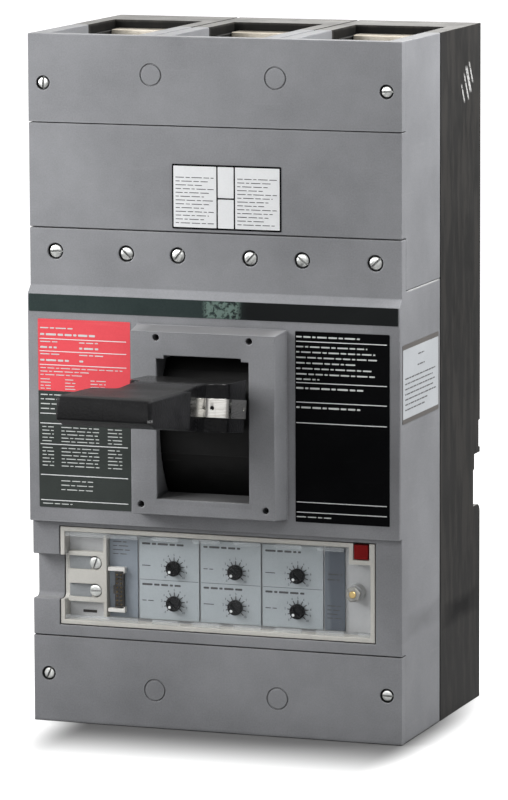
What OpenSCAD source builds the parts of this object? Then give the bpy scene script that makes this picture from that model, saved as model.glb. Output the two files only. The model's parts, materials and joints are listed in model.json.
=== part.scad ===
// Moulded three-pole electronic-trip circuit breaker, standing on its load end.
// Millimetres. X to the right, Y to the back (0 = rear mounting face), Z up (0 = lower end).

/* [Body] */
// Width over the side faces
body_w = 228.6; // [180:0.1:280]
// Height from load end to line end
body_h = 406.4; // [360:0.1:460]
// Depth from the rear face to the terminal shield fronts
body_d = 150; // [130:0.5:180]
// Depth of the black base, rear face to cover seam
base_d = 78.5; // [70:0.5:85]
// Width of the dark groove at the base seam
seam_w = 1; // [0.4:0.1:2]
// Depth of the dark groove at the base seam
seam_deep = 1.2; // [0.5:0.1:2]
// Height of each terminal shield
shield_h = 51.8; // [40:0.1:60]
// Thickness of each terminal shield
shield_t = 7; // [4:0.5:10]
// Visible line between neighbouring front pieces
line_w = 0.5; // [0.2:0.1:1]

/* [Front cover] */
// Level of the side seam between the two covers
cover_split = 263.4; // [255:0.1:270]
// Height of the screwed flange above that seam
flange_h = 29.8; // [24:0.1:36]
// Thickness of the screwed flange
flange_t = 7.5; // [5:0.5:10]
// How far the middle panel stands proud
panel_proud = 4.5; // [2:0.1:8]
// Lower edge of the middle panel
panel_lo = 120.5; // [112:0.1:126]
// Upper edge of the middle panel at the foot of its bevel
panel_hi = 259.5; // [250:0.1:262]
// Diameter of the flange screw counterbores
flange_cb_d = 9.5; // [7:0.1:12]
// Diameter of the shield screw counterbores
shield_cb_d = 8.4; // [6:0.1:11]
// Depth of all screw counterbores
cb_deep = 3; // [1.5:0.1:5]
// Level of the flange screws
flange_screw_z = 279.6; // [274:0.1:286]
// Outer flange screw, distance from the side face
flange_edge = 16.1; // [8:0.1:24]
// Second flange screw, distance from the middle
flange_x2 = 54; // [45:0.1:65]
// Inner flange screw, distance from the middle
flange_x1 = 22.2; // [15:0.1:30]
// Shield screws, distance from the side face
shield_screw_edge = 9.3; // [7:0.1:16]
// Shield screws, distance from the body end
shield_screw_in = 28.6; // [20:0.1:40]
// Diameter of the pilot holes for the shield screws
pilot_d = 4.5; // [3:0.1:6]
// Depth of those pilot holes
pilot_deep = 14; // [8:0.5:20]
// Depth of the knock-out ring grooves
ring_deep = 0.6; // [0.3:0.1:1.5]
// Width of the knock-out ring grooves
ring_w = 0.8; // [0.4:0.1:2]

/* [Terminal ends] */
// Distance between poles
pole_pitch = 76.2; // [60:0.1:90]
// Clear width of a terminal well
well_w = 56; // [44:0.5:64]
// Depth of a terminal well from the body end
well_deep = 54; // [40:0.5:70]
// Thickness of the rear land behind a well
land_t = 36; // [25:0.5:45]
// Width of the barrier slot in each divider
slot_w = 1.6; // [1:0.1:3]
// Depth of the barrier slot
slot_deep = 10; // [5:0.5:13]
// Width of a terminal strap
strap_w = 50.8; // [30:0.1:54]
// Thickness of a terminal strap
strap_t = 12.7; // [6:0.1:20]
// Strap end below the body end
strap_in = 5; // [2:0.1:12]
// Play between a strap and the guides beside it
guide_play = 0.6; // [0.3:0.1:1]
// Guides beside a strap, height in front of the rear land
guide_h = 32; // [16:0.5:38]
// Guide ends below the body end
guide_in = 6; // [3:0.1:12]
// Seating of the strap in the base floor
strap_seat = 12; // [6:0.5:20]
// Diameter of the strap bolt hole
strap_hole_d = 11; // [8:0.1:14]
// Strap bolt hole below the body end
strap_hole_in = 26; // [18:0.5:40]

/* [Mounting holes] */
// Mounting hole distance from the body ends
mount_in = 22.5; // [18:0.1:30]
// Diameter of the mounting holes
mount_d = 7.4; // [5:0.1:10]
// Diameter of the driver way in front of them
driver_d = 13.4; // [10:0.1:16]
// Thickness of base left under the screw head
mount_floor = 40; // [20:0.5:60]

/* [Rear edge notches] */
// Width of the notches into the side faces
notch_w = 9; // [5:0.1:14]
// Lower edge of the deep notch
rail_lo = 118; // [108:0.1:124]
// Level where the deep notch becomes shallower
rail_mid = 140; // [130:0.1:144]
// Upper edge of the deep notch
rail_hi = 149.2; // [145:0.1:151]
// Depth of the lower part of the deep notch
rail_deep = 13; // [8:0.1:18]
// Depth of the upper part of the deep notch
rail_deep_hi = 11; // [6:0.1:16]
// Rounding of the land below the deep notch
rail_r = 5; // [2:0.1:8]
// Lower edge of the shallow recess above
shallow_lo = 152.5; // [151:0.1:158]
// Upper edge of the shallow recess above
shallow_hi = 168.7; // [162:0.1:176]
// Depth of the shallow recess
shallow_deep = 2.6; // [1:0.1:5]

/* [Handle frame] */
// Half width of the raised frame at its foot
frame_hw = 46; // [40:0.1:50]
// Lower edge of the raised frame at its foot
frame_lo = 129; // [124:0.1:134]
// Upper edge of the raised frame at its foot
frame_hi = 239.5; // [232:0.1:250]
// Height of the raised frame above the panel
frame_proud = 15.5; // [8:0.1:22]
// Draft of the frame sides over its height
frame_draft = 1.8; // [0.5:0.1:4]
// Half width of the handle opening
open_hw = 28.2; // [26:0.1:32]
// Lower edge of the handle opening
open_lo = 140; // [134:0.1:148]
// Upper edge of the handle opening
open_hi = 222; // [214:0.1:228]
// Rise of the opening's floor up to the pivot
open_rise = 6.6; // [2:0.1:12]
// Half width of the shallow step at its top
step_hw = 23.5; // [18:0.1:26]
// Height of that step
step_h = 2; // [0.5:0.1:4]
// Diameter of the four fixing holes in the frame
frame_hole_d = 3.7; // [2.5:0.1:5]
// Depth of those holes
frame_hole_deep = 12; // [6:0.5:14]
// Upper fixing holes, distance from the middle
frame_top_x = 28.5; // [24:0.1:34]
// Upper fixing holes, level
frame_top_z = 234.3; // [226:0.1:236]
// Lower fixing holes, distance from the middle
frame_bot_x = 38.3; // [32:0.1:42]
// Lower fixing holes, level
frame_bot_z = 136.5; // [131:0.1:139]

/* [Handle] */
// Pivot distance in front of the rear face
pivot_y = 95; // [90:0.5:105]
// Pivot level
pivot_z = 182.3; // [176:0.1:188]
// Upward tilt of the handle as it stands
rest_tilt = 9.1; // [-15:0.1:15]
// Half width of the stem through the opening
stem_hw = 21; // [16:0.1:23]
// Half thickness of the stem
stem_ht = 12; // [9:0.1:13]
// Stem rear, distance from the pivot
stem_from = 20; // [14:0.5:30]
// Half width of the handle hub
hub_hw = 30.4; // [26:0.1:34]
// Hub rear, distance from the pivot
hub_from = 88; // [87:0.5:98]
// Hub front, distance from the pivot
hub_end = 123.1; // [112:0.1:134]
// Radius of the upright hub corners
hub_r = 9.5; // [4:0.1:11]
// Top of the hub rear above the handle line
hub_back_top = 17.5; // [14:0.1:20]
// Top of the hub front above the handle line
hub_top = 14.2; // [10:0.1:16]
// Underside of the hub below the handle line
hub_low = 13.2; // [11:0.1:15]
// Half width of the neck
neck_hw = 20; // [14:0.1:24]
// Radius of the hollow between neck and hub
neck_r = 8; // [4:0.1:12]
// Neck front, distance from the pivot
neck_end = 172; // [160:0.5:190]
// Length of the flare from neck to grip
flare = 8; // [3:0.5:16]
// Length over which the underside rises from hub to grip
low_run = 22; // [4:0.5:28]
// Half width of the grip
grip_hw = 28; // [22:0.1:34]
// Grip tip, distance from the pivot
grip_end = 234; // [200:0.5:250]
// Top of the grip rear above the handle line
grip_top = 8.7; // [6:0.1:12]
// Underside of the grip below the handle line
grip_low = 12.9; // [10:0.1:14]
// Length of the level part of the grip top
grip_level = 12; // [4:0.5:20]
// Top of the grip tip above the handle line
tip_top = 1.7; // [-2:0.1:6]
// Foot of the grip tip below the handle line
tip_low = 9.8; // [6:0.1:12]
// Height of the bevel above the tip
tip_rise = 2.1; // [0.5:0.1:4]
// Length of the bevel above the tip
tip_run = 4.5; // [1:0.1:8]
// Length of the bevel below the tip
tip_low_run = 11; // [4:0.1:16]
// Bevel of the grip corners and long edges
grip_bevel = 1.5; // [0.5:0.1:3]
// Width of the web between stem and pivot studs
web_w = 30; // [16:0.5:40]
// Thickness of that web
web_t = 18; // [10:0.5:22]
// Radius of the pivot studs
stud_r = 6; // [4:0.1:8]
// Length of the pivot studs beyond the shutter
stud_len = 12; // [6:0.5:16]
// Room at the stud ends
stud_room = 2; // [0.5:0.1:4]
// Free play around the studs
stud_play = 0.4; // [0.3:0.1:1]
// Wall of the handle frame in front of the shutter room
lip_t = 5.5; // [4:0.1:12]
// Thickness of one leaf of the dust shutter
shutter_t = 2; // [1:0.1:3]
// Half width of the dust shutter
shutter_hw = 31; // [29:0.1:34]
// Half angle of the inner leaf
shutter_a = 66; // [58:1:70]
// Outer leaf, angle above the handle line
leaf_hi = 20; // [15:0.5:30]
// Outer leaf, angle below the handle line
leaf_lo = 25; // [15:0.5:34]
// Room around the shutter inside the cover
shutter_room = 5.5; // [5:0.1:8]
// Height of the spring clip
clip_h = 10.7; // [6:0.1:14]
// Thickness of the spring clip
clip_t = 0.8; // [0.5:0.1:1.5]
// Middle of the spring clip above the handle line
clip_up = 0.5; // [0:0.1:2]
// Rear end of the spring clip ahead of the hub rear
clip_in = 0.5; // [0.2:0.1:6]
// Front end of the spring clip behind the flare
clip_gap = 1; // [0.5:0.1:8]
// Diameter of the clip holes
clip_hole_d = 2.4; // [1:0.1:4]
// Clip hole, turn around the hollow from the neck
clip_hole_a = 50; // [25:1:60]
// Clip slot, turn around the hollow from the neck
clip_slot_a = 15; // [5:1:25]
// Width of the clip slot
clip_slot_w = 0.8; // [0.4:0.1:1.5]
// Rear clip hole, distance from the rear end of the clip
clip_rear_in = 4.5; // [2:0.1:8]

/* [Trip unit] */
// Trip unit frame, distance from the left side face
trip_left = 17.3; // [12:0.1:24]
// Trip unit frame, distance from the right side face
trip_right = 16.6; // [12:0.1:24]
// Lower edge of the trip unit frame
trip_z0 = 58.9; // [54:0.1:64]
// Upper edge of the trip unit frame
trip_z1 = 116.9; // [110:0.1:119]
// Play between the frame and the cover pocket
trip_play = 0.5; // [0.3:0.1:1]
// Wall of the trip unit frame
trip_wall = 2.7; // [1.5:0.1:4]
// Frame front behind the cover front
trip_in = 0.3; // [0:0.1:2]
// Depth of the pocket in the cover
pocket_deep = 24; // [16:0.5:30]
// Depth of the unit face below the cover front
face_deep = 8.5; // [7:0.1:14]
// Thickness of the dial plates
plate_t = 1.2; // [0.6:0.1:2]
// Line between dial plates
plate_line = 1.1; // [0.4:0.1:2]
// Plates and plug post, distance from the frame above and below
plate_edge = 2; // [1:0.1:4]
// Width of the dark strip left of the plates
strip_l_w = 17.55; // [14:0.05:24]
// Width of the dark strip right of the plates
strip_r_w = 12.2; // [8:0.1:14]
// Width of the plain field right of that strip
field_w = 17.9; // [13:0.1:20]
// Side notch for leads, lower edge
notch_z0 = 73.6; // [66:0.1:80]
// Side notch for leads, upper edge
notch_z1 = 100; // [90:0.1:108]
// Side notch depth
notch_deep = 8.5; // [5:0.1:9.5]
// Rounding along the floor of the side notch
notch_r = 3; // [1:0.1:5]

/* [Clear cover] */
// Clear cover thickness
clear_t = 1.5; // [1:0.1:3]
// Clear cover front behind the cover front
clear_in = 0.9; // [0.8:0.1:2]
// Play between the clear cover and the frame
clear_play = 0.4; // [0.3:0.1:1]
// Thickness of its upper and lower walls
clear_wall = 1.2; // [0.8:0.1:2]
// Height of the front rims along those walls
rim_h = 2.4; // [1.2:0.1:4]
// How far the rims stand proud
rim_t = 0.5; // [0.2:0.1:0.6]
// Width of the gaps in the rims
tab_w = 8.8; // [5:0.1:14]
// Distance between the gaps in the rims
tab_pitch = 25.4; // [18:0.1:30]
// First gap in the rims, distance from the left end of the cover
tab_from = 49.8; // [20:0.1:60]
// Diameter of the seal post
post_d = 10; // [7:0.1:12]
// Seal post, distance from the right wall of the frame
post_in = 10.4; // [8:0.1:12]
// Level of the seal post
post_z = 86.9; // [80:0.1:94]

/* [Dials and button] */
// Diameter of a dial
dial_d = 9; // [7:0.1:12]
// Height of a dial
dial_t = 2.6; // [2:0.1:5]
// Bevel of the dial rim
dial_bevel = 0.6; // [0.2:0.1:1]
// Width of the slot across a dial
dial_slot_w = 1.2; // [0.6:0.1:2]
// Depth of the slot across a dial
dial_slot_deep = 1; // [0.4:0.1:2]
// Length of the slot across a dial
dial_slot_l = 6; // [4:0.1:7]
// Diameter of a dial shaft
dial_shaft_d = 4; // [3:0.1:5]
// Length of a dial shaft behind the unit face
dial_shaft_l = 6; // [3:0.1:10]
// Play around a dial shaft and behind a dial
dial_play = 0.5; // [0.3:0.1:0.8]
// Dial columns, to the right of the plate middle
dial_off = 3.1; // [-4:0.1:4]
// Level of the upper dials
dial_hi = 94.5; // [88:0.1:100]
// Level of the lower dials
dial_lo = 73.65; // [70:0.05:80]
// Side of the square trip button
button_w = 8.4; // [6:0.1:10]
// Button centre, distance from the right edge of the frame
button_in = 8.3; // [7:0.1:12]
// Button centre level below the upper edge of the frame
button_down = 5; // [4:0.1:8]
// Button cap height
button_t = 5.5; // [3:0.1:6.5]
// Button front ahead of the cover front
button_out = 0.2; // [0:0.1:2]
// Button stem diameter
button_stem_d = 4; // [2:0.1:6]
// Button stem below the button centre
stem_down = 1; // [0:0.1:3]
// Length of the button stem behind the unit face
button_stem_l = 10; // [6:0.1:11]
// Play around the button
button_play = 0.6; // [0.3:0.1:1]
// Travel left behind the button stem
button_room_y = 3; // [2:0.1:4]
// Wall of the surround left of and below the button
surround = 2.7; // [1.5:0.1:4]

/* [Plug and connector] */
// Plug block, distance from the left wall of the frame
plug_in = 1; // [0.5:0.1:4]
// Width of the plug block
plug_w = 22.1; // [16:0.1:26]
// Lower edge of the plug block
plug_lo = 72.2; // [66:0.1:74]
// Upper edge of the plug block
plug_hi = 102.1; // [100:0.1:108]
// Plug block front behind the cover front
plug_deep = 3.5; // [3:0.1:6]
// Width of the upright post beside the plug block
plug_post_w = 2; // [1:0.1:3]
// Levels of the two lead ways in the plug block
lead_hi = 95.4; // [92:0.1:97]
// Level of the lower lead way
lead_lo = 78.9; // [77:0.1:82]
// Height of a lead way
lead_h = 8.2; // [5:0.1:10]
// Depth of a lead way
lead_deep = 2.5; // [1:0.1:5]
// Diameter of a screw seat at the end of a lead way
lead_seat_d = 8.6; // [6:0.1:10]
// Screw seat, distance from the right edge of the plug block
lead_seat_in = 5.4; // [5:0.1:8]
// Screw seat depth below a lead way
lead_seat_deep = 0.6; // [0.2:0.1:2]
// Pin connector, distance from the left edge of its strip
conn_in = 4.1; // [2:0.1:8]
// Width of the pin connector
conn_w = 5.4; // [4:0.1:9]
// Lower edge of the pin connector
conn_lo = 69.6; // [66:0.1:72]
// Upper edge of the pin connector
conn_hi = 91; // [88:0.1:96]
// Pin connector front behind the cover front
conn_deep = 4.5; // [3.5:0.1:7]
// Length of the key on its left flank
key_l = 5; // [2:0.1:8]
// Width of that key
key_w = 1; // [0.5:0.1:2]
// Pin rows
pin_rows = 8; // [4:1:8]
// Distance between pins
pin_pitch = 2.54; // [2:0.01:2.6]
// Width of a pin socket
pin_w = 1; // [0.6:0.1:1.4]
// Depth of a pin socket
pin_deep = 1.5; // [0.5:0.1:3]
// Thickness of a connector latch
latch_t = 2.3; // [1:0.1:3]
// Distance between latch and connector
latch_gap = 0.4; // [0.2:0.1:1]
// Latch front ahead of the connector
latch_out = 0.6; // [0:0.1:1]
// Tooth at the end of a latch
latch_tooth = 1.1; // [0.5:0.1:2]

/* [Hidden] */
$fn = 64;
eps = 0.01;
front_y = -body_d;
seam_y = -base_d;
panel_y = front_y - panel_proud;
frame_y = panel_y - frame_proud;
shield_seat_y = front_y + shield_t;
flange_seat_y = front_y + flange_t;
flange_top = cover_split + flange_h;
flange_x3 = body_w / 2 - flange_edge;
shield_screw_x = body_w / 2 - shield_screw_edge;
guide_y = -land_t - guide_h;
guide_w = strap_w + 2 * guide_play;
poles = [-pole_pitch, 0, pole_pitch];
splits = [-pole_pitch / 2, pole_pitch / 2];
shutter_r = -frame_y - lip_t - shutter_room - pivot_y;
shutter_far = 2 * shutter_r;
blend = 0.03;
corner_x = hub_hw - hub_r;
corner_d = hub_end - hub_r;
hollow_x = neck_hw + neck_r;
hollow_d = corner_d + sqrt(pow(hub_r + neck_r - blend, 2) - pow(hollow_x - corner_x, 2));
turn_a = atan2(hollow_d - corner_d, hollow_x - corner_x);
neck_steps = 8;
lap_a = 0.1;
neck_run = neck_end - hub_end;
fall_d = neck_end + grip_level;
fall_a = atan((grip_top - tip_top - tip_rise) / (grip_end - tip_run - fall_d));
clip_from = hub_from + clip_in;
clip_end = neck_end - flare - clip_gap;
trip_x0 = -body_w / 2 + trip_left;
trip_x1 = body_w / 2 - trip_right;
trip_front_y = front_y + trip_in;
trip_floor_y = front_y + pocket_deep;
face_y = front_y + face_deep;
plate_y = face_y - plate_t;
in_x0 = trip_x0 + trip_wall;
in_x1 = trip_x1 - trip_wall;
in_z0 = trip_z0 + trip_wall;
in_z1 = trip_z1 - trip_wall;
plate_z0 = in_z0 + plate_edge;
plate_z1 = in_z1 - plate_edge;
plug_x0 = in_x0 + plug_in;
plug_x1 = plug_x0 + plug_w;
plug_y = front_y + plug_deep;
strip_l_x0 = plug_x1 + plug_post_w + plate_line / 2;
plate_x0 = strip_l_x0 + strip_l_w + plate_line;
strip_r_x1 = in_x1 - field_w;
strip_r_x0 = strip_r_x1 - strip_r_w;
plate_pitch = (strip_r_x0 - plate_x0) / 3;
plate_w = plate_pitch - plate_line;
conn_x0 = strip_l_x0 + conn_in;
conn_x1 = conn_x0 + conn_w;
conn_y = front_y + conn_deep;
button_x = trip_x1 - button_in;
button_z = trip_z1 - button_down;
button_y = front_y - button_out;
room_half = button_w / 2 + button_play;
clear_y = front_y + clear_in;
clear_x0 = in_x0 + clear_play;
clear_x1 = in_x1 - clear_play;
clear_z0 = in_z0 + clear_play;
clear_z1 = in_z1 - clear_play;
tab_last = floor((clear_x1 - clear_x0 - tab_from) / tab_pitch);

// Helpers

// Box between two corners
module box(x0, x1, y0, y1, z0, z1) {
  translate([x0, y0, z0]) cube([x1 - x0, y1 - y0, z1 - z0]);
}

// Round bar along Y
module bar_y(x, z, d, y0, y1) {
  translate([x, y0, z]) rotate([-90, 0, 0]) cylinder(d = d, h = y1 - y0);
}

// Round bar along X
module bar_x(y, z, r, x0, x1) {
  translate([x0, y, z]) rotate([0, 90, 0]) cylinder(r = r, h = x1 - x0);
}

// Side outline in Y and Z, drawn out along X
module along_x(x0, x1) {
  translate([x0, 0, 0]) rotate([90, 0, 90]) linear_extrude(x1 - x0) children();
}

// Mirrors its children about the mid-height plane
module at_load_end() {
  translate([0, 0, body_h]) mirror([0, 0, 1]) children();
}

// Three wells open at the line end, between two depths
module wells(w, deep, y0, y1) {
  for (x = poles)
    box(x - w / 2, x + w / 2, y0, y1, body_h - deep, body_h + 1);
}

// Two barrier slots in the dividers at the line end
module barrier_slots(y0, y1) {
  for (x = splits)
    box(x - slot_w / 2, x + slot_w / 2, y0, y1, body_h - slot_deep, body_h + 1);
}

// Terminal strap bodies at the line end
module strap_blanks() {
  for (x = poles)
    box(x - strap_w / 2, x + strap_w / 2, -land_t - strap_t, -land_t,
      body_h - well_deep - strap_seat, body_h - strap_in);
}

// Everything the base loses at its line end; guides stay beside the straps
module base_end_cuts() {
  wells(well_w, well_deep, seam_y - 1, guide_y);
  wells(well_w, guide_in, guide_y - eps, -land_t);
  wells(guide_w, well_deep, guide_y - eps, -land_t);
  barrier_slots(seam_y - 1, 1);
  strap_blanks();
  for (x = splits) {
    bar_y(x, body_h - mount_in, mount_d, seam_y - 1, 1);
    bar_y(x, body_h - mount_in, driver_d, seam_y - 1, -mount_floor);
  }
}

// Everything a cover loses at its line end
module cover_end_cuts() {
  wells(well_w, well_deep, shield_seat_y - eps, seam_y + 1);
  barrier_slots(shield_seat_y - eps, seam_y + 1);
  box(-body_w, body_w, front_y - 1, shield_seat_y, body_h - shield_h, body_h + 1);
  for (x = splits)
    bar_y(x, body_h - mount_in, driver_d, front_y - 1, seam_y + 1);
  for (x = [-shield_screw_x, shield_screw_x])
    bar_y(x, body_h - shield_screw_in, pilot_d, shield_seat_y - 1, shield_seat_y + pilot_deep);
}

// Body pieces

module base() {
  color([0.13, 0.13, 0.14]) difference() {
    box(-body_w / 2, body_w / 2, seam_y, 0, 0, body_h);
    for (s = [-1, 1]) {
      translate([s * body_w / 2, 0, 0]) {
        box(-seam_deep, seam_deep, seam_y - 1, seam_y + seam_w, -1, body_h + 1);
        rear_edge_notch();
      }
    }
    base_end_cuts();
    at_load_end() base_end_cuts();
  }
}

// Stepped notch in each rear edge, with a rounded land below it
module rear_edge_notch() {
  box(-notch_w, notch_w, -rail_deep, 1, rail_lo, rail_mid);
  box(-notch_w, notch_w, -rail_deep_hi, 1, rail_mid - eps, rail_hi);
  box(-notch_w, notch_w, -shallow_deep, 1, shallow_lo, shallow_hi);
  difference() {
    box(-notch_w, notch_w, -rail_r, 1, rail_lo - rail_r, rail_lo + eps);
    bar_x(-rail_r, rail_lo - rail_r, rail_r, -notch_w - 1, notch_w + 1);
  }
}

module upper_cover() {
  color([0.55, 0.56, 0.58]) difference() {
    box(-body_w / 2, body_w / 2, front_y, seam_y, cover_split, body_h);
    box(-body_w, body_w, front_y - 1, flange_seat_y, cover_split - 1, flange_top + line_w);
    cover_end_cuts();
  }
}

module main_cover() {
  color([0.54, 0.55, 0.57]) difference() {
    union() {
      box(-body_w / 2, body_w / 2, front_y, seam_y, 0, cover_split);
      box(-body_w / 2, body_w / 2, front_y, flange_seat_y, cover_split - eps, flange_top);
      raised_panel();
      handle_frame();
    }
    at_load_end() cover_end_cuts();
    handle_way();
    trip_pocket();
    for (s = [-1, 1]) {
      for (x = [flange_x1, flange_x2, flange_x3])
        bar_y(s * x, flange_screw_z, flange_cb_d, front_y - 1, front_y + cb_deep);
      bar_y(s * frame_top_x, frame_top_z, frame_hole_d, frame_y - 1, frame_y + frame_hole_deep);
      bar_y(s * frame_bot_x, frame_bot_z, frame_hole_d, frame_y - 1, frame_y + frame_hole_deep);
    }
  }
}

// Middle panel with its bevelled upper edge
module raised_panel() {
  along_x(-body_w / 2, body_w / 2)
    polygon([[front_y + 1, panel_lo], [panel_y, panel_lo],
      [panel_y, panel_hi - panel_proud], [front_y, panel_hi], [front_y + 1, panel_hi]]);
}

// Raised frame around the handle, drafted on all four sides
module handle_frame() {
  intersection() {
    translate([0, 0, frame_lo]) linear_extrude(frame_hi - frame_lo)
      polygon([[-frame_hw, panel_y + 1], [frame_hw, panel_y + 1], [frame_hw, panel_y],
        [frame_hw - frame_draft, frame_y], [-frame_hw + frame_draft, frame_y],
        [-frame_hw, panel_y]]);
    along_x(-frame_hw, frame_hw)
      polygon([[panel_y + 1, frame_lo], [panel_y + 1, frame_hi], [panel_y, frame_hi],
        [frame_y, frame_hi - frame_draft], [frame_y, frame_lo + frame_draft],
        [panel_y, frame_lo]]);
  }
}

// Opening for the handle, room for the shutter, sockets for the studs
module handle_way() {
  room_hw = shutter_hw + shutter_room;
  socket_hw = shutter_hw + stud_len + stud_room;
  along_x(-open_hw, open_hw)
    polygon([[frame_y - 1, open_lo], [frame_y, open_lo], [-pivot_y, open_lo + open_rise],
      [-pivot_y, open_hi], [frame_y - 1, open_hi]]);
  box(-step_hw, step_hw, frame_y - 1, -pivot_y, open_hi - 1, open_hi + step_h);
  bar_x(-pivot_y, pivot_z, shutter_r + shutter_room, -room_hw, room_hw);
  bar_x(-pivot_y, pivot_z, stud_r + stud_play, -socket_hw, socket_hw);
}

// Pocket for the trip unit with the lead notch to the left side
module trip_pocket() {
  box(trip_x0 - trip_play, trip_x1 + trip_play, front_y - 1, trip_floor_y,
    trip_z0 - trip_play, trip_z1 + trip_play);
  lead_notch(-body_w, trip_x0);
}

// Notch for leads, rounded along its floor
module lead_notch(x0, x1) {
  floor_y = front_y + notch_deep;
  along_x(x0, x1) {
    translate([front_y - 1, notch_z0]) square([notch_deep + 1 - notch_r, notch_z1 - notch_z0]);
    translate([front_y, notch_z0 + notch_r])
      square([notch_deep, notch_z1 - notch_z0 - 2 * notch_r]);
    for (z = [notch_z0 + notch_r, notch_z1 - notch_r])
      translate([floor_y - notch_r, z]) circle(r = notch_r);
  }
}

module shield_blank() {
  difference() {
    box(-body_w / 2, body_w / 2, front_y, shield_seat_y, body_h - shield_h + line_w, body_h);
    for (x = [-shield_screw_x, shield_screw_x])
      bar_y(x, body_h - shield_screw_in, shield_cb_d, front_y - 1, front_y + cb_deep);
    for (x = splits)
      difference() {
        bar_y(x, body_h - mount_in, driver_d, front_y - 1, front_y + ring_deep);
        bar_y(x, body_h - mount_in, driver_d - 2 * ring_w, front_y - 2, front_y + 2);
      }
  }
}

module line_shield() {
  color([0.55, 0.56, 0.58]) shield_blank();
}

module load_shield() {
  color([0.55, 0.56, 0.58]) at_load_end() shield_blank();
}

module straps() {
  difference() {
    strap_blanks();
    for (x = poles)
      bar_y(x, body_h - strap_hole_in, strap_hole_d, -land_t - strap_t - 1, -land_t + 1);
  }
}

module line_straps() {
  color([0.85, 0.82, 0.74]) straps();
}

module load_straps() {
  color([0.85, 0.82, 0.74]) at_load_end() straps();
}

// Handle pieces, drawn along -Y from the pivot and then tilted

module on_pivot() {
  translate([0, -pivot_y, pivot_z]) rotate([-rest_tilt, 0, 0]) children();
}

// Top of the neck, from hub (0) to grip (1)
function neck_top(share) = grip_top + (hub_top - grip_top) * (1 + cos(180 * share)) / 2;

// Side outline of hub, neck and grip, given as distance from the pivot and height
module lever_side() {
  polygon(concat(
    [[-hub_from, hub_back_top]],
    [for (i = [0:neck_steps]) [-hub_end - neck_run * i / neck_steps, neck_top(i / neck_steps)]],
    [[-fall_d, grip_top], [-grip_end + tip_run, tip_top + tip_rise], [-grip_end, tip_top],
      [-grip_end, -tip_low], [-grip_end + tip_low_run, -grip_low], [-neck_end, -grip_low],
      [-neck_end + low_run, -hub_low], [-hub_from, -hub_low]]));
}

// Plan outline of hub, neck and grip
module lever_plan() {
  translate([-hub_hw, -corner_d]) square([2 * hub_hw, corner_d - hub_from]);
  translate([-corner_x, -hub_end]) square([2 * corner_x, hub_r + 1]);
  for (s = [-1, 1])
    translate([s * corner_x, -corner_d]) circle(r = hub_r);
  translate([-neck_hw, -neck_end - 1]) square([2 * neck_hw, neck_end - hub_end + 2]);
  neck_hollow();
  mirror([1, 0]) neck_hollow();
  polygon([[-neck_hw, -neck_end + flare], [-grip_hw, -neck_end], [-grip_hw, -grip_end + grip_bevel],
    [-grip_hw + grip_bevel, -grip_end], [grip_hw - grip_bevel, -grip_end],
    [grip_hw, -grip_end + grip_bevel], [grip_hw, -neck_end], [neck_hw, -neck_end + flare]]);
}

// Hollow that runs from the neck into the hub corner
module neck_hollow() {
  difference() {
    polygon([[corner_x, -corner_d], [hollow_x, -hollow_d], [neck_hw - 1, -hollow_d],
      [neck_hw - 1, -corner_d]]);
    translate([hollow_x, -hollow_d]) circle(r = neck_r);
  }
}

// Bars that bevel one long edge of the grip on both sides, falling forward by an angle
module grip_edges(d, z, fall) {
  side = grip_bevel * sqrt(2);
  for (s = [-1, 1])
    translate([s * grip_hw, -d, z]) rotate([fall, 0, 0]) rotate([0, 45, 0])
      translate([-side / 2, d - grip_end - flare, -side / 2])
        cube([side, grip_end - neck_end + 2 * flare, side]);
}

module lever() {
  wide = 2 * grip_hw + 2 * hub_hw;
  tall = 2 * hub_back_top + 2 * hub_low;
  color([0.08, 0.08, 0.09]) on_pivot() {
    difference() {
      intersection() {
        along_x(-wide / 2, wide / 2) lever_side();
        translate([0, 0, -tall / 2]) linear_extrude(tall) lever_plan();
      }
      grip_edges(fall_d, grip_top, fall_a);
      grip_edges(neck_end, -grip_low, 0);
    }
    box(-stem_hw, stem_hw, -hub_from - 1, -stem_from, -stem_ht, stem_ht);
    box(-web_w / 2, web_w / 2, -stem_from - 1, 0, -web_t / 2, web_t / 2);
    bar_x(0, 0, stud_r, -shutter_hw - stud_len, shutter_hw + stud_len);
  }
}

// Part of a drum about the pivot, between two angles from the handle line
module drum_part(r, above, below) {
  intersection() {
    bar_x(0, 0, r, -shutter_hw, shutter_hw);
    along_x(-shutter_hw, shutter_hw)
      polygon([[0, 0], [-shutter_far, shutter_far * tan(above)],
        [-shutter_far, -shutter_far * tan(below)]]);
  }
}

// Curved dust shutter around the stem, an outer leaf lapped on an inner one
module lever_shutter() {
  color([0.07, 0.07, 0.08]) on_pivot() difference() {
    union() {
      drum_part(shutter_r, leaf_hi, leaf_lo);
      drum_part(shutter_r - shutter_t, shutter_a, shutter_a);
    }
    bar_x(0, 0, shutter_r - 2 * shutter_t, -shutter_hw - 1, shutter_hw + 1);
    box(-stem_hw, stem_hw, -shutter_far, 0, -stem_ht, stem_ht);
  }
}

// Part of a ring between two radii, inside a wedge that opens to two far points
module ring_part(x, d, r0, r1, a, b) {
  intersection() {
    translate([x, -d]) difference() {
      circle(r = r1);
      circle(r = r0);
    }
    polygon([[x, -d], [x + 2 * r1 * cos(a), -d + 2 * r1 * sin(a)],
      [x + 2 * r1 * cos(b), -d + 2 * r1 * sin(b)]]);
  }
}

// Plan outline of the spring clip along neck, hollow, hub corner and hub flank
module clip_plan() {
  translate([neck_hw, -clip_end]) square([clip_t, clip_end - hollow_d + eps]);
  ring_part(hollow_x, hollow_d, neck_r - clip_t, neck_r, 180, 180 - turn_a - lap_a);
  ring_part(corner_x, corner_d, hub_r, hub_r + clip_t, -turn_a - lap_a, 0);
  translate([hub_hw, -corner_d - eps]) square([clip_t, corner_d - clip_from + eps]);
}

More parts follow.
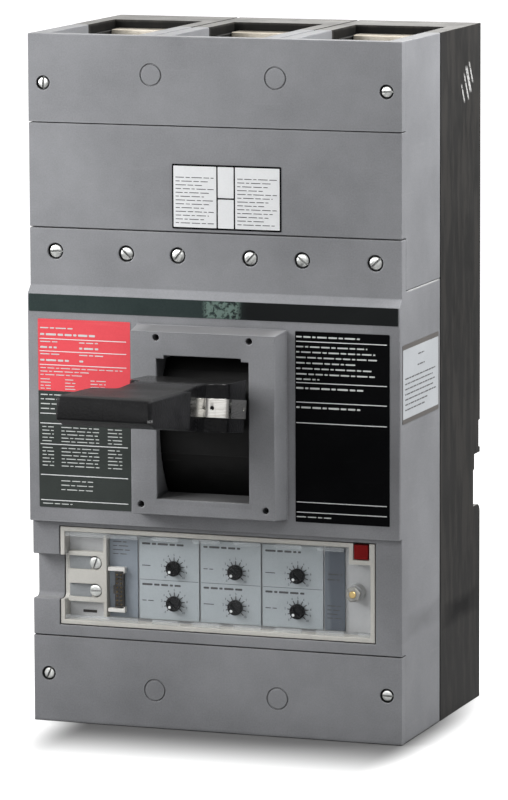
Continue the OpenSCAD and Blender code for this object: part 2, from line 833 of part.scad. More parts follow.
// Spring clip along one flank, with its hole, slot and rear hole
module clip_half() {
  deep = clip_t + 2;
  difference() {
    translate([0, 0, -clip_h / 2]) linear_extrude(clip_h) clip_plan();
    translate([hollow_x, -hollow_d, 0]) {
      rotate([0, 0, 180 - clip_hole_a]) translate([neck_r - clip_t - 1, 0, 0]) rotate([0, 90, 0])
        cylinder(d = clip_hole_d, h = deep);
      rotate([0, 0, 180 - clip_slot_a])
        translate([neck_r - clip_t - 1, -clip_slot_w / 2, -clip_hole_d / 2])
          cube([deep, clip_slot_w, clip_hole_d]);
    }
    translate([hub_hw - 1, -clip_from - clip_rear_in, 0]) rotate([0, 90, 0])
      cylinder(d = clip_hole_d, h = deep);
  }
}

module lever_clip() {
  color([0.8, 0.8, 0.8]) on_pivot() translate([0, 0, clip_up]) {
    clip_half();
    mirror([1, 0, 0]) clip_half();
  }
}

// Trip unit pieces

// Square room around the button through frame and surround
module button_room() {
  box(button_x - room_half, button_x + room_half, front_y - 2, face_y,
    button_z - room_half, trip_z1 + 2);
}

// Corner around the button, grown by a play
module button_corner(play, y0) {
  box(button_x - room_half - surround - play, in_x1 + 1, y0, face_y,
    button_z - room_half - surround - play, in_z1 + 1);
}

module trip_bezel() {
  color([0.83, 0.81, 0.75]) difference() {
    union() {
      difference() {
        box(trip_x0, trip_x1, trip_front_y, trip_floor_y, trip_z0, trip_z1);
        box(in_x0, in_x1, front_y - 1, trip_floor_y + 1, in_z0, in_z1);
      }
      button_corner(0, trip_front_y);
    }
    lead_notch(trip_x0 - 1, in_x0 + 1);
    button_room();
  }
}

module trip_body() {
  shaft_way = dial_shaft_d + 2 * dial_play;
  stem_way = button_stem_d + 2 * button_play;
  color([0.6, 0.63, 0.66]) difference() {
    union() {
      box(in_x0, in_x1, face_y, trip_floor_y, in_z0, in_z1);
      bar_y(in_x1 - post_in, post_z, post_d, clear_y + clear_t, face_y + 1);
    }
    for (i = [0:5])
      bar_y(dial_cx(i), dial_cz(i), shaft_way, face_y - 1, face_y + dial_shaft_l + 2 * dial_play);
    bar_y(button_x, button_z - stem_down, stem_way, face_y - 1,
      face_y + button_stem_l + button_room_y);
  }
}

// Three dial plates side by side
module dial_plates() {
  color([0.72, 0.77, 0.8]) difference() {
    for (i = [0:2])
      box(plate_x0 + i * plate_pitch, plate_x0 + i * plate_pitch + plate_w,
        plate_y, face_y, plate_z0, plate_z1);
    for (i = [0:5])
      bar_y(dial_cx(i), dial_cz(i), dial_shaft_d + 2 * dial_play, plate_y - 1, face_y + 1);
  }
}

// Darker strips left and right of the dial plates
module side_strips() {
  color([0.55, 0.6, 0.66]) {
    box(strip_l_x0, strip_l_x0 + strip_l_w, plate_y, face_y, plate_z0, plate_z1);
    box(strip_r_x0, strip_r_x1, plate_y, face_y, plate_z0, plate_z1);
  }
}

// Plug block with two lead ways that end in screw seats, and its upright post
module plug_block() {
  seat_x = plug_x1 - lead_seat_in;
  color([0.86, 0.85, 0.8]) difference() {
    union() {
      box(plug_x0, plug_x1, plug_y, face_y, plug_lo, plug_hi);
      box(plug_x1 - eps, plug_x1 + plug_post_w, plug_y, face_y, plate_z0, plate_z1);
    }
    for (z = [lead_hi, lead_lo]) {
      box(plug_x0 - 1, seat_x, plug_y - 1, plug_y + lead_deep, z - lead_h / 2, z + lead_h / 2);
      bar_y(seat_x, z, lead_seat_d, plug_y - 1, plug_y + lead_deep + lead_seat_deep);
    }
  }
}

// Connector with two rows of pin sockets and a key on its left flank
module pin_connector() {
  conn_mid = (conn_x0 + conn_x1) / 2;
  conn_z = (conn_lo + conn_hi) / 2;
  color([0.1, 0.09, 0.08]) difference() {
    union() {
      box(conn_x0, conn_x1, conn_y, plate_y, conn_lo, conn_hi);
      box(conn_x0 - key_w, conn_x0 + eps, conn_y, plate_y, conn_z - key_l / 2, conn_z + key_l / 2);
    }
    for (s = [-1, 1])
      for (i = [0:pin_rows - 1])
        translate([conn_mid + s * pin_pitch / 2, conn_y,
            conn_z + (i - (pin_rows - 1) / 2) * pin_pitch])
          cube([pin_w, 2 * pin_deep, pin_w], center = true);
  }
}

// Toothed latches above and below the connector
module connector_latches() {
  latch_y = conn_y - latch_out;
  color([0.9, 0.9, 0.88])
    for (up = [0, 1])
      translate([0, 0, up ? conn_hi + latch_gap : conn_lo - latch_gap]) mirror([0, 0, 1 - up]) {
        box(strip_l_x0, conn_x1 + latch_tooth, latch_y, plate_y, 0, latch_t);
        box(conn_x1 + latch_gap, conn_x1 + latch_tooth, latch_y, plate_y, -latch_tooth, eps);
      }
}

// Clear tray cover standing on the unit face, its rims broken by clip gaps
module clear_cover() {
  color([0.85, 0.9, 0.92, 0.35]) difference() {
    union() {
      box(clear_x0, clear_x1, clear_y, clear_y + clear_t, clear_z0, clear_z1);
      for (z = [clear_z0, clear_z1 - clear_wall])
        box(clear_x0, clear_x1, clear_y, face_y, z, z + clear_wall);
      for (z = [clear_z0, clear_z1 - rim_h])
        box(clear_x0, clear_x1, clear_y - rim_t, clear_y + eps, z, z + rim_h);
    }
    for (i = [0:tab_last])
      translate([clear_x0 + tab_from + i * tab_pitch, 0, 0])
        box(-tab_w / 2, tab_w / 2, clear_y - 2 * rim_t, clear_y, in_z0, in_z1);
    button_corner(clear_play, front_y - 1);
    box(in_x0 - 1, in_x0 + 2 * clear_play, front_y - 1, face_y + 1, notch_z0 - 1, notch_z1 + 1);
  }
}

module trip_button() {
  color([0.75, 0.08, 0.06]) {
    box(button_x - button_w / 2, button_x + button_w / 2, button_y, button_y + button_t,
      button_z - button_w / 2, button_z + button_w / 2);
    bar_y(button_x, button_z - stem_down, button_stem_d, button_y + button_t - 1,
      face_y + button_stem_l);
  }
}

// Dial centres, upper row first
function dial_cx(i) = plate_x0 + (i % 3) * plate_pitch + plate_w / 2 + dial_off;
function dial_cz(i) = i < 3 ? dial_hi : dial_lo;

// Slotted dial with a bevelled rim on its shaft
module dial(i) {
  knob_y = plate_y - dial_play - dial_t;
  color([0.12, 0.12, 0.13]) translate([dial_cx(i), knob_y, dial_cz(i)]) difference() {
    rotate([-90, 0, 0]) {
      cylinder(d1 = dial_d - 2 * dial_bevel, d2 = dial_d, h = dial_bevel);
      translate([0, 0, dial_bevel]) cylinder(d = dial_d, h = dial_t - dial_bevel);
      cylinder(d = dial_shaft_d, h = face_y - knob_y + dial_shaft_l);
    }
    rotate([0, 45, 0]) cube([dial_slot_l, 2 * dial_slot_deep, dial_slot_w], center = true);
  }
}

module dial_1() { dial(0); }
module dial_2() { dial(1); }
module dial_3() { dial(2); }
module dial_4() { dial(3); }
module dial_5() { dial(4); }
module dial_6() { dial(5); }

base();
main_cover();
upper_cover();
line_shield();
load_shield();
line_straps();
load_straps();
lever();
lever_shutter();
lever_clip();
trip_bezel();
trip_body();
dial_plates();
side_strips();
plug_block();
pin_connector();
connector_latches();
clear_cover();
trip_button();
dial_1();
dial_2();
dial_3();
dial_4();
dial_5();
dial_6();
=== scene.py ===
import json
from math import cos, pi, radians, sin, tau

import bmesh
import bpy
from mathutils import Matrix, Vector

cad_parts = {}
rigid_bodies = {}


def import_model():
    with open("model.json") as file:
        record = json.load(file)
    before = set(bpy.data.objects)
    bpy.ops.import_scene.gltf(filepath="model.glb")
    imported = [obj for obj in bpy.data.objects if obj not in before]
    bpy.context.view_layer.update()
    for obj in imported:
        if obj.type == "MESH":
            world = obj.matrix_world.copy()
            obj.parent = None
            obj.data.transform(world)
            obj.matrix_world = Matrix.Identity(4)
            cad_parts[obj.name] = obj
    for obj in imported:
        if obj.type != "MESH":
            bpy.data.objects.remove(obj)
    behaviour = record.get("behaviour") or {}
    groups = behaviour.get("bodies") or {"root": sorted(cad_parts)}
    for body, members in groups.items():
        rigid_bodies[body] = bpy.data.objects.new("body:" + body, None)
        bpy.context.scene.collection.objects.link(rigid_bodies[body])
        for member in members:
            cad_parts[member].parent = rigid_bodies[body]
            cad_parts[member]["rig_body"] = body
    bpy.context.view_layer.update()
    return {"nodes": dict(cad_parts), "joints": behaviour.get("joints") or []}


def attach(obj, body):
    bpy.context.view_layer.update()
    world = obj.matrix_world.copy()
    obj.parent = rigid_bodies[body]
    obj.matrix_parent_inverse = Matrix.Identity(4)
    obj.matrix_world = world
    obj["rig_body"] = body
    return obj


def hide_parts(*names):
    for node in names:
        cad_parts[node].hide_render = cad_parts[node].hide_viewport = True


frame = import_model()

# Black base
# The rear half of the housing is one block of black phenolic, pressed in a hot steel mould and left
# with a satin skin. It bolts to the switchboard and carries the terminals; its edges rub brownish.
MM = 0.001
MERGED = 1e-6
FLAT = radians(0.4)
SHARP = radians(32)


def reach(node, axis):
    """The least and greatest place of a CAD node along X, Y or Z (0 to 2), in millimetres."""
    along = [v.co[axis] / MM for v in frame["nodes"][node].data.vertices]
    return round(min(along), 3), round(max(along), 3)


def rounded(node, name, width, material, segments=2, limit=SHARP):
    """A piece in place of a CAD node, its sharp edges rounded to a width in millimetres."""
    shape = bmesh.new()
    shape.from_mesh(frame["nodes"][node].data)
    bmesh.ops.remove_doubles(shape, verts=shape.verts, dist=MERGED)
    bmesh.ops.dissolve_limit(shape, angle_limit=FLAT, verts=shape.verts, edges=shape.edges)
    shape.verts.index_update()
    corners = [v.co.copy() for v in shape.verts]
    sides = [[v.index for v in f.verts] for f in shape.faces]
    shape.free()
    mesh = bpy.data.meshes.new(name)
    mesh.from_pydata(corners, [], sides)
    mesh.shade_smooth()
    mesh.materials.append(material)
    piece = bpy.data.objects.new(name, mesh)
    bpy.context.scene.collection.objects.link(piece)
    edges = piece.modifiers.new("rounded edges", "BEVEL")
    edges.width = width * MM
    edges.segments = segments
    edges.angle_limit = limit
    edges.use_clamp_overlap = False
    piece.modifiers.new("flat faces", "TRIANGULATE").min_vertices = 5
    piece.modifiers.new("even shading", "WEIGHTED_NORMAL").keep_sharp = True
    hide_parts(node)
    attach(piece, frame["nodes"][node]["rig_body"])


def put(tree, kind, sockets=None, **settings):
    """A shader node with its settings made and its sockets set or linked."""
    made = tree.nodes.new(kind)
    for key, value in settings.items():
        setattr(made, key, value)
    for key, value in (sockets or {}).items():
        if isinstance(value, bpy.types.NodeSocket):
            tree.links.new(value, made.inputs[key])
        else:
            made.inputs[key].default_value = value
    return made


def here(tree):
    return put(tree, "ShaderNodeTexCoord").outputs["Object"]


def facing(tree):
    return put(tree, "ShaderNodeNewGeometry").outputs["Normal"]


def parts(tree, a):
    return put(tree, "ShaderNodeSeparateXYZ", {0: a}).outputs


def joined(tree, x, y, z):
    return put(tree, "ShaderNodeCombineXYZ", {0: x, 1: y, 2: z}).outputs[0]


def noise(tree, at, scale, detail, roughness=0.5):
    return put(tree, "ShaderNodeTexNoise", {"Vector": at, "Scale": scale, "Detail": detail,
                                            "Roughness": roughness}).outputs[0]


def vector(tree, operation, a, b=None):
    """Vector arithmetic; a length or a dot product comes out as a number."""
    sockets = {0: a} if b is None else {0: a, 1: b}
    made = put(tree, "ShaderNodeVectorMath", sockets, operation=operation)
    return made.outputs["Value" if operation in ("LENGTH", "DOT_PRODUCT") else "Vector"]


def maths(tree, operation, a, b):
    return put(tree, "ShaderNodeMath", {0: a, 1: b}, operation=operation).outputs[0]


def times(tree, a, b):
    return maths(tree, "MULTIPLY", a, b)


def plus(tree, a, b):
    """A sum, held between 0 and 1."""
    return put(tree, "ShaderNodeMath", {0: a, 1: b}, operation="ADD", use_clamp=True).outputs[0]


def spread(tree, value, low, high, to_low=0.0, to_high=1.0):
    """A value between two limits, stretched to two others and held there."""
    sockets = {"Value": value, 1: low, 2: high, 3: to_low, 4: to_high}
    return put(tree, "ShaderNodeMapRange", sockets).outputs[0]


def tint(tree, share, a, b):
    """Colour a going over to colour b, each a socket or red, green and blue."""
    a, b = ((*colour, 1) if isinstance(colour, tuple) else colour for colour in (a, b))
    return put(tree, "ShaderNodeMix", {0: share, 6: a, 7: b}, data_type="RGBA").outputs[2]


def effect(name, takes, gives):
    """A shader node group with named number sockets."""
    group = bpy.data.node_groups.new(name, "ShaderNodeTree")
    for label, value in takes.items():
        socket = group.interface.new_socket(
            name=label, in_out="INPUT", socket_type="NodeSocketFloat")
        socket.default_value = value
    for label in gives:
        group.interface.new_socket(name=label, in_out="OUTPUT", socket_type="NodeSocketFloat")
    inside = group.nodes.new("NodeGroupInput").outputs
    return group, inside, group.nodes.new("NodeGroupOutput").inputs


def placed(tree, group, sockets=None):
    """The outputs of an effect placed in a material with its own values."""
    return put(tree, "ShaderNodeGroup", sockets, node_tree=group).outputs


# Clouds and fine grain of a pressed moulding
mottle, take, give = effect("mould mottle", {"Clouds": 14.0, "Grain": 900.0}, ["Tone", "Height"])
at = here(mottle)
clouds = noise(mottle, at, take["Clouds"], 6.0, 0.62)
grain = noise(mottle, at, take["Grain"], 2.0)
mottle.links.new(plus(mottle, times(mottle, spread(mottle, clouds, 0.3, 0.7), 0.7),
                      times(mottle, spread(mottle, grain, 0.3, 0.7), 0.3)), give["Tone"])
mottle.links.new(grain, give["Height"])

# Broken wear along rounded edges
edge_rub, take, give = effect("edge rub", {"Radius": 0.0015, "Patches": 60.0}, ["Mask"])
bend = put(edge_rub, "ShaderNodeBevel", {"Radius": take["Radius"]}, samples=6).outputs[0]
turn = vector(edge_rub, "DOT_PRODUCT", bend, facing(edge_rub))
patch = noise(edge_rub, here(edge_rub), take["Patches"], 4.0, 0.7)
edge_rub.links.new(times(edge_rub, spread(edge_rub, turn, 0.985, 0.86),
                         spread(edge_rub, patch, 0.35, 0.62, 0.15, 1.0)), give["Mask"])

# Pale dust that settles on faces that look up
DUST_GREY = (0.52, 0.51, 0.49)
dust, take, give = effect("settled dust", {"Amount": 0.5}, ["Mask"])
film = noise(dust, here(dust), 45.0, 7.0, 0.7)
lying = times(dust, spread(dust, parts(dust, facing(dust))[2], 0.72, 0.98),
              spread(dust, film, 0.25, 0.7, 0.35, 1.0))
dust.links.new(times(dust, take["Amount"], lying), give["Mask"])

# Dark grime and painted shade in grooves, hollows and joints, where ambient occlusion finds them
GROOVE_DIRT_AND_SHADE = (0.012, 0.012, 0.012)
grime_and_shade, take, give = effect("joint grime and shade", {"Reach": 0.003}, ["Mask"])
shut = put(grime_and_shade, "ShaderNodeAmbientOcclusion", {"Distance": take["Reach"]}, samples=6)
patch = noise(grime_and_shade, here(grime_and_shade), 90.0, 3.0)
grime_and_shade.links.new(times(grime_and_shade, spread(grime_and_shade, shut.outputs["AO"], 0.80, 0.35),
                      spread(grime_and_shade, patch, 0.25, 0.6, 0.55, 1.0)), give["Mask"])

# Long faint rubs left by handling, drawn out along one axis
UPRIGHT_RUBS = {"Across": 20.0, "Along": 120.0, "Bare": 0.47}
handling, take, give = effect(
    "handling rubs", {"Across": 220.0, "Along": 14.0, "Bare": 0.62}, ["Mask"])
fineness = joined(handling, take["Along"], take["Along"], take["Across"])
rubs = noise(handling, vector(handling, "MULTIPLY", here(handling), fineness), 1.0, 4.0, 0.65)
handling.links.new(spread(handling, maths(handling, "SUBTRACT", rubs, take["Bare"]), 0.0, 0.12),
                   give["Mask"])

# One ragged patch at a given place, broken up by a noise that can be drawn out upright
local_patch, take, give = effect("local patch", {
    "X": 0.0, "Y": 0.0, "Z": 0.0, "Half X": 0.01, "Half Y": 0.01, "Half Z": 0.01,
    "Lean": 0.0, "Across": 300.0, "Upright": 300.0, "Ragged": 1.0, "Bare": 0.5,
    "Core": 0.75}, ["Mask"])
centre = joined(local_patch, take["X"], take["Y"], take["Z"])
half = joined(local_patch, take["Half X"], take["Half Y"], take["Half Z"])
off = vector(local_patch, "SUBTRACT", here(local_patch), centre)
lean = times(local_patch, parts(local_patch, off)[2], take["Lean"])
straight = vector(local_patch, "SUBTRACT", off, joined(local_patch, 0.0, lean, 0.0))
share = vector(local_patch, "ABSOLUTE", vector(local_patch, "DIVIDE", straight, half))
axes = parts(local_patch, share)
widest = maths(local_patch, "MAXIMUM", axes[0], axes[1])
widest = maths(local_patch, "MAXIMUM", widest, axes[2])
fineness = joined(local_patch, take["Across"], take["Across"], take["Upright"])
broken = noise(local_patch, vector(local_patch, "MULTIPLY", straight, fineness), 1.0, 4.0, 0.6)
swing = times(local_patch, maths(local_patch, "SUBTRACT", broken, 0.5), take["Ragged"])
rim = maths(local_patch, "ADD", widest, swing)
bare = maths(local_patch, "SUBTRACT", broken, take["Bare"])
local_patch.links.new(times(local_patch, spread(local_patch, rim, 1.0, take["Core"]),
                            spread(local_patch, bare, -0.04, 0.06)), give["Mask"])


def new_material(name):
    made = bpy.data.materials.new(name)
    made.use_nodes = True
    return made, made.node_tree, made.node_tree.nodes["Principled BSDF"]


def moulding(name, deep, pale, rubbed, dusty=0.4, worn=0.6, rough=(0.4, 0.55), clouds=14.0,
             grain=900.0, pits=0.05, edge=0.0015, rubs=0.25, shine=0.3, dirt_and_shade=0.0, upright=False,
             polished=None, marks=()):
    """Moulded plastic: mottled colour, worn edges, handling rubs, dust, grime with painted shade in
    hollows and joints, and a fine skin.

    Upright draws the rubs out up and down. Polished is a stretch along Y, from its first value to
    its second, over which the roughness goes over to its third. Each mark is a local patch: its
    share, its colour and the sockets that place it, in metres."""
    made, tree, skin = new_material(name)
    skin.inputs["Specular IOR Level"].default_value = shine
    body = placed(tree, mottle, {"Clouds": clouds, "Grain": grain})
    wear = placed(tree, edge_rub, {"Radius": edge})["Mask"]
    fine = placed(tree, handling, UPRIGHT_RUBS if upright else None)["Mask"]
    settled = placed(tree, dust, {"Amount": dusty})["Mask"]
    colour = tint(tree, body["Tone"], deep, pale)
    colour = tint(tree, times(tree, fine, rubs), colour, rubbed)
    colour = tint(tree, times(tree, wear, worn), colour, rubbed)
    colour = tint(tree, settled, colour, DUST_GREY)
    # Painted shade: grime and darkening in hollows, counterbores and joints, from ambient
    # occlusion.
    if dirt_and_shade:
        shade = times(tree, placed(tree, grime_and_shade)["Mask"], dirt_and_shade)
        colour = tint(tree, shade, colour, GROOVE_DIRT_AND_SHADE)
    for share, mark, sockets in marks:
        spot = placed(tree, local_patch, sockets)["Mask"]
        colour = tint(tree, times(tree, spot, share), colour, mark)
    tree.links.new(colour, skin.inputs["Base Color"])
    gloss = spread(tree, body["Tone"], 0.0, 1.0, *rough)
    gloss = plus(tree, gloss, times(tree, settled, 0.3))
    if polished:
        along = spread(tree, parts(tree, here(tree))[1], *polished[:2])
        gloss = put(tree, "ShaderNodeMix", {0: along, 2: gloss, 3: polished[2]}).outputs[0]
    tree.links.new(gloss, skin.inputs["Roughness"])
    relief = put(tree, "ShaderNodeBump",
                 {"Strength": 0.5, "Distance": pits * MM, "Height": body["Height"]})
    tree.links.new(relief.outputs[0], skin.inputs["Normal"])
    return made


SIDE = reach("base", 0)[1]
SCRAPED_WHITE = (0.60, 0.60, 0.59)
WELL_DARK_BLACK = (0.003, 0.003, 0.003)
SMUDGE_BLACK = (0.001, 0.001, 0.001)
stroke = {"X": SIDE * MM, "Lean": -0.56, "Across": 900.0, "Upright": 500.0, "Ragged": 0.9,
          "Bare": 0.42}
strokes = ((-0.0193, 0.3788, 0.0013, 0.0067), (-0.0241, 0.3749, 0.0023, 0.0083),
           (-0.0282, 0.3708, 0.0013, 0.0084), (-0.0347, 0.3674, 0.0012, 0.0058))
scraped = [(0.9, SCRAPED_WHITE, {**stroke, "Y": y, "Z": z, "Half Y": wide, "Half Z": tall})
           for y, z, wide, tall in strokes]
smudge = {"X": SIDE * MM, "Y": -0.036, "Z": 0.0615, "Half X": 0.004, "Half Y": 0.043,
          "Half Z": 0.0085, "Across": 90.0, "Upright": 60.0, "Ragged": 0.5, "Bare": -1.0,
          "Core": 0.25}
# The insides of the line and load terminal wells are made darker.
well_dark = {"Y": -0.040, "Half X": 0.108, "Half Y": 0.0365, "Half Z": 0.028, "Ragged": 0.0,
        "Bare": -1.0, "Core": 0.98}
line_well_dark, load_well_dark = ((0.8, WELL_DARK_BLACK, {**well_dark, "Z": level}) for level in (0.3774, 0.029))
phenolic = moulding(
    "black phenolic", (0.010, 0.0098, 0.0095), (0.030, 0.0292, 0.0285), (0.060, 0.055, 0.050),
    dusty=0.55, worn=0.45, rough=(0.46, 0.60), clouds=22.0, rubs=0.30, shine=0.08, dirt_and_shade=0.8,
    upright=True, marks=[*scraped, (0.97, SMUDGE_BLACK, smudge), line_well_dark, load_well_dark])
rounded("base", "base_moulding", 0.29, phenolic)

# Terminal straps
# Six flat copper bars, tinned to a warm dull silver, lie in the wells and take the bolted lugs.
# They are sheared, punched and slightly smeared by old joints.
CORNER_REACH = 0.0016
CORNER_DIRT_AND_SHADE = (0.02, 0.02, 0.02)
SATIN = (0.25, 0.45)


def metal(name, deep, pale, stain, clouds, stained, dirt_and_shade=0.0):
    """Bare or plated metal: clouded colour, stained rubs, and grime with painted shade in its
    corners.
    """
    made, tree, skin = new_material(name)
    skin.inputs["Metallic"].default_value = 1.0
    tone = placed(tree, mottle, {"Clouds": clouds})["Tone"]
    colour = tint(tree, tone, deep, pale)
    colour = tint(tree, times(tree, placed(tree, handling)["Mask"], stained), colour, stain)
    # Painted shade: grime and darkening in slots and corners, from ambient occlusion.
    corners = placed(tree, grime_and_shade, {"Reach": CORNER_REACH})["Mask"]
    colour = tint(tree, times(tree, corners, dirt_and_shade), colour, CORNER_DIRT_AND_SHADE)
    tree.links.new(colour, skin.inputs["Base Color"])
    tree.links.new(spread(tree, tone, 0.0, 1.0, *SATIN), skin.inputs["Roughness"])
    return made


tinned = metal("tinned copper", (0.62, 0.55, 0.44), (0.80, 0.75, 0.66), (0.55, 0.42, 0.30), 60.0,
               0.5)
for end in ("line_straps", "load_straps"):
    rounded(end, end + "_tinned", 0.6, tinned)

# Grey covers and terminal shields
# The front of the housing is glass-filled polyester, pressed in grey: an upper cover, a main cover
# with flange, panel and handle frame, and a shield over each row of terminals, all screwed down.
DIRT_AND_SHADE_GREY = (0.10, 0.10, 0.105)
JOINT_AND_SHADE_BLACK = (0.015, 0.015, 0.015)
HIGHLIGHT_GREY = (0.46, 0.46, 0.46)
smear = {"X": SIDE * MM, "Y": -0.112, "Z": 0.0675, "Half X": 0.004, "Half Y": 0.042,
         "Half Z": 0.0085, "Across": 60.0, "Upright": 60.0, "Ragged": 0.6, "Bare": -1.0,
         "Core": 0.1}
seam = {"Y": -0.0788, "Z": 0.2, "Half X": 0.2, "Half Y": 0.0006, "Half Z": 0.25, "Ragged": 0.3,
        "Across": 200.0, "Upright": 60.0, "Bare": -1.0}
# Painted highlight: a pale line along the side joint of upper and main cover, on both sides.
split_highlight = {"X": SIDE * MM, "Y": -0.1105, "Z": 0.2628, "Half X": 0.002, "Half Y": 0.0320,
         "Half Z": 0.0005, "Ragged": 0.2, "Bare": -1.0}
other_split_highlight = {**split_highlight, "X": -SIDE * MM}
# Painted shade: the panel's right edge, the top bevel of the handle frame and the sill of its
# opening are darkened.
panel_edge_shade = {"X": 0.112, "Y": -0.1545, "Z": 0.187, "Half X": 0.016, "Half Y": 0.003,
             "Half Z": 0.068, "Across": 60.0, "Upright": 20.0, "Ragged": 0.4, "Bare": -1.0,
             "Core": 0.4}
frame_bevel_shade = {"Y": -0.1622, "Z": 0.2386, "Half X": 0.047, "Half Y": 0.0085, "Half Z": 0.0016,
         "Across": 60.0, "Upright": 60.0, "Ragged": 0.2, "Bare": -1.0}
opening_sill_shade = {"Y": -0.156, "Z": 0.140, "Half X": 0.030, "Half Y": 0.0142, "Half Z": 0.003,
        "Across": 60.0, "Upright": 60.0, "Ragged": 0.1, "Bare": -1.0, "Core": 0.85}
grey = moulding(
    "grey polyester", (0.165, 0.168, 0.177), (0.262, 0.266, 0.279), (0.40, 0.40, 0.405),
    dusty=0.28, worn=0.30, rough=(0.50, 0.66), clouds=16.0, grain=1100.0, rubs=0.10, shine=0.2,
    dirt_and_shade=0.9, marks=[(0.45, DIRT_AND_SHADE_GREY, smear), (0.55, DIRT_AND_SHADE_GREY, panel_edge_shade),
                      (0.6, DIRT_AND_SHADE_GREY, frame_bevel_shade), (0.65, JOINT_AND_SHADE_BLACK, opening_sill_shade),
                      (0.85, JOINT_AND_SHADE_BLACK, seam), (0.7, HIGHLIGHT_GREY, split_highlight),
                      (0.7, HIGHLIGHT_GREY, other_split_highlight)])
for node, width in (("upper_cover", 0.6), ("main_cover", 0.6), ("line_shield", 0.29),
                    ("load_shield", 0.29)):
    rounded(node, node + "_moulding", width, grey)

# Cover and shield screws
# Six flange screws and four shield screws are slotted pan heads of zinc-plated steel, turned down
# into the counterbores. No two slots stand alike, the plating has gone dull in rubs, and painted
# shade darkens the slots and corners.
TO_FRONT = Matrix(((1, 0, 0, 0), (0, 0, -1, 0), (0, 1, 0, 0), (0, 0, 0, 1)))
HEAD_EDGE = 0.08


def lathe(shape, profile, steps=40):
    """Faces of a turned form from its radius and height pairs, closed at both ends."""
    rings = []
    for radius, height in profile:
        rings.append([shape.verts.new((radius * cos(tau * i / steps), radius * sin(tau * i / steps),
                                       height)) for i in range(steps)])
    for low, high in zip(rings, rings[1:]):
        for i in range(steps):
            j = (i + 1) % steps
            shape.faces.new((low[i], low[j], high[j], high[i]))
    shape.faces.new(rings[0][::-1])
    shape.faces.new(rings[-1])


def block(shape, low, high):
    """Faces of a box between two corners."""
    points = [shape.verts.new((x, y, z)) for x in (low[0], high[0]) for y in (low[1], high[1])
              for z in (low[2], high[2])]
    for side in ((0, 1, 3, 2), (4, 6, 7, 5), (0, 4, 5, 1), (2, 3, 7, 6), (0, 2, 6, 4),
                 (1, 5, 7, 3)):
        shape.faces.new([points[i] for i in side])


def as_object(name, shape):
    """A linked object from a shape, which is used up."""
    bmesh.ops.recalc_face_normals(shape, faces=shape.faces)
    mesh = bpy.data.meshes.new(name)
    shape.to_mesh(mesh)
    shape.free()
    piece = bpy.data.objects.new(name, mesh)
    bpy.context.scene.collection.objects.link(piece)
    return piece


def turned_smooth(piece):
    """Smooth shading that keeps the sharp edges of a turned piece."""
    piece.data.shade_smooth()
    piece.data.set_sharp_from_angle(angle=SHARP)


def slotted_head(diameter, height, slot_width, slot_depth):
    """Mesh of a slotted pan head standing on its seat, in millimetres, slot along X."""
    r = diameter / 2
    shape = bmesh.new()
    lathe(shape, [(r * 0.96, 0), (r, height * 0.12), (r, height * 0.5), (r * 0.95, height * 0.74),
                  (r * 0.82, height * 0.9), (r * 0.5, height * 0.98), (r * 0.12, height)])
    head = as_object("head blank", shape)
    shape = bmesh.new()
    block(shape, (-diameter, -slot_width / 2, height - slot_depth),
          (diameter, slot_width / 2, height + 1))
    cutter = as_object("slot cutter", shape)
    cut = head.modifiers.new("slot", "BOOLEAN")
    cut.object = cutter
    edges = head.modifiers.new("edges", "BEVEL")
    edges.width = HEAD_EDGE
    edges.angle_limit = SHARP
    ready = bpy.data.meshes.new_from_object(
        head.evaluated_get(bpy.context.evaluated_depsgraph_get()))
    bpy.data.objects.remove(head)
    bpy.data.objects.remove(cutter)
    return ready


zinc = metal("zinc plate", (0.50, 0.51, 0.50), (0.78, 0.79, 0.77), (0.33, 0.30, 0.24), 420.0, 0.35,
             dirt_and_shade=1.0)


def set_screws(name, head, places, face):
    """One piece holding a head at each place (x, z, slot turn) with its seat at depth face."""
    shape = bmesh.new()
    for x, z, turned in places:
        before = len(shape.verts)
        shape.from_mesh(head)
        shape.verts.ensure_lookup_table()
        put_there = (Matrix.Translation((x, face, z)) @ TO_FRONT
                     @ Matrix.Rotation(radians(turned), 4, "Z"))
        bmesh.ops.transform(shape, matrix=put_there, verts=shape.verts[before:])
    bmesh.ops.scale(shape, vec=(MM, MM, MM), verts=shape.verts)
    piece = as_object(name, shape)
    turned_smooth(piece)
    piece.data.materials.append(zinc)
    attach(piece, "housing")


FRONT = reach("upper_cover", 1)[0]
TOP = reach("base", 2)[1]
COUNTERBORE = 3.0
SEAT = FRONT + COUNTERBORE
FLANGE_Z = 279.6
SHIELD_X, SHIELD_LOW = 105.0, 28.6
SHIELD_HIGH = TOP - SHIELD_LOW
flange_places = [(-98.2, FLANGE_Z, 0), (-54.0, FLANGE_Z, -42), (-22.2, FLANGE_Z, 52),
                 (22.2, FLANGE_Z, 48), (54.0, FLANGE_Z, -38), (98.2, FLANGE_Z, 44)]
shield_places = [(-SHIELD_X, SHIELD_HIGH, 88), (SHIELD_X, SHIELD_HIGH, 4),
                 (-SHIELD_X, SHIELD_LOW, 66), (SHIELD_X, SHIELD_LOW, -3)]
set_screws("flange_screws", slotted_head(8.0, 2.6, 1.2, 1.4), flange_places, SEAT)
set_screws("shield_screws", slotted_head(6.9, 2.6, 1.1, 1.4), shield_places, SEAT)

# Printed labels
# Thin printed foils are glued on: a dark band along the top of the panel, worn pale in its middle,
# a red and dark table left of the handle, a black form right of it, and white stickers on the front
# and the right side. Their rows of print are bars of the length of words.
FOIL = 0.25
INK = 0.06
RULE = 0.45
FRAME_PROUD = 15.5
PANEL = reach("main_cover", 1)[0] + FRAME_PROUD
TO_RIGHT = Matrix(((0, 0, 1, 0), (1, 0, 0, 0), (0, 1, 0, 0), (0, 0, 0, 1)))


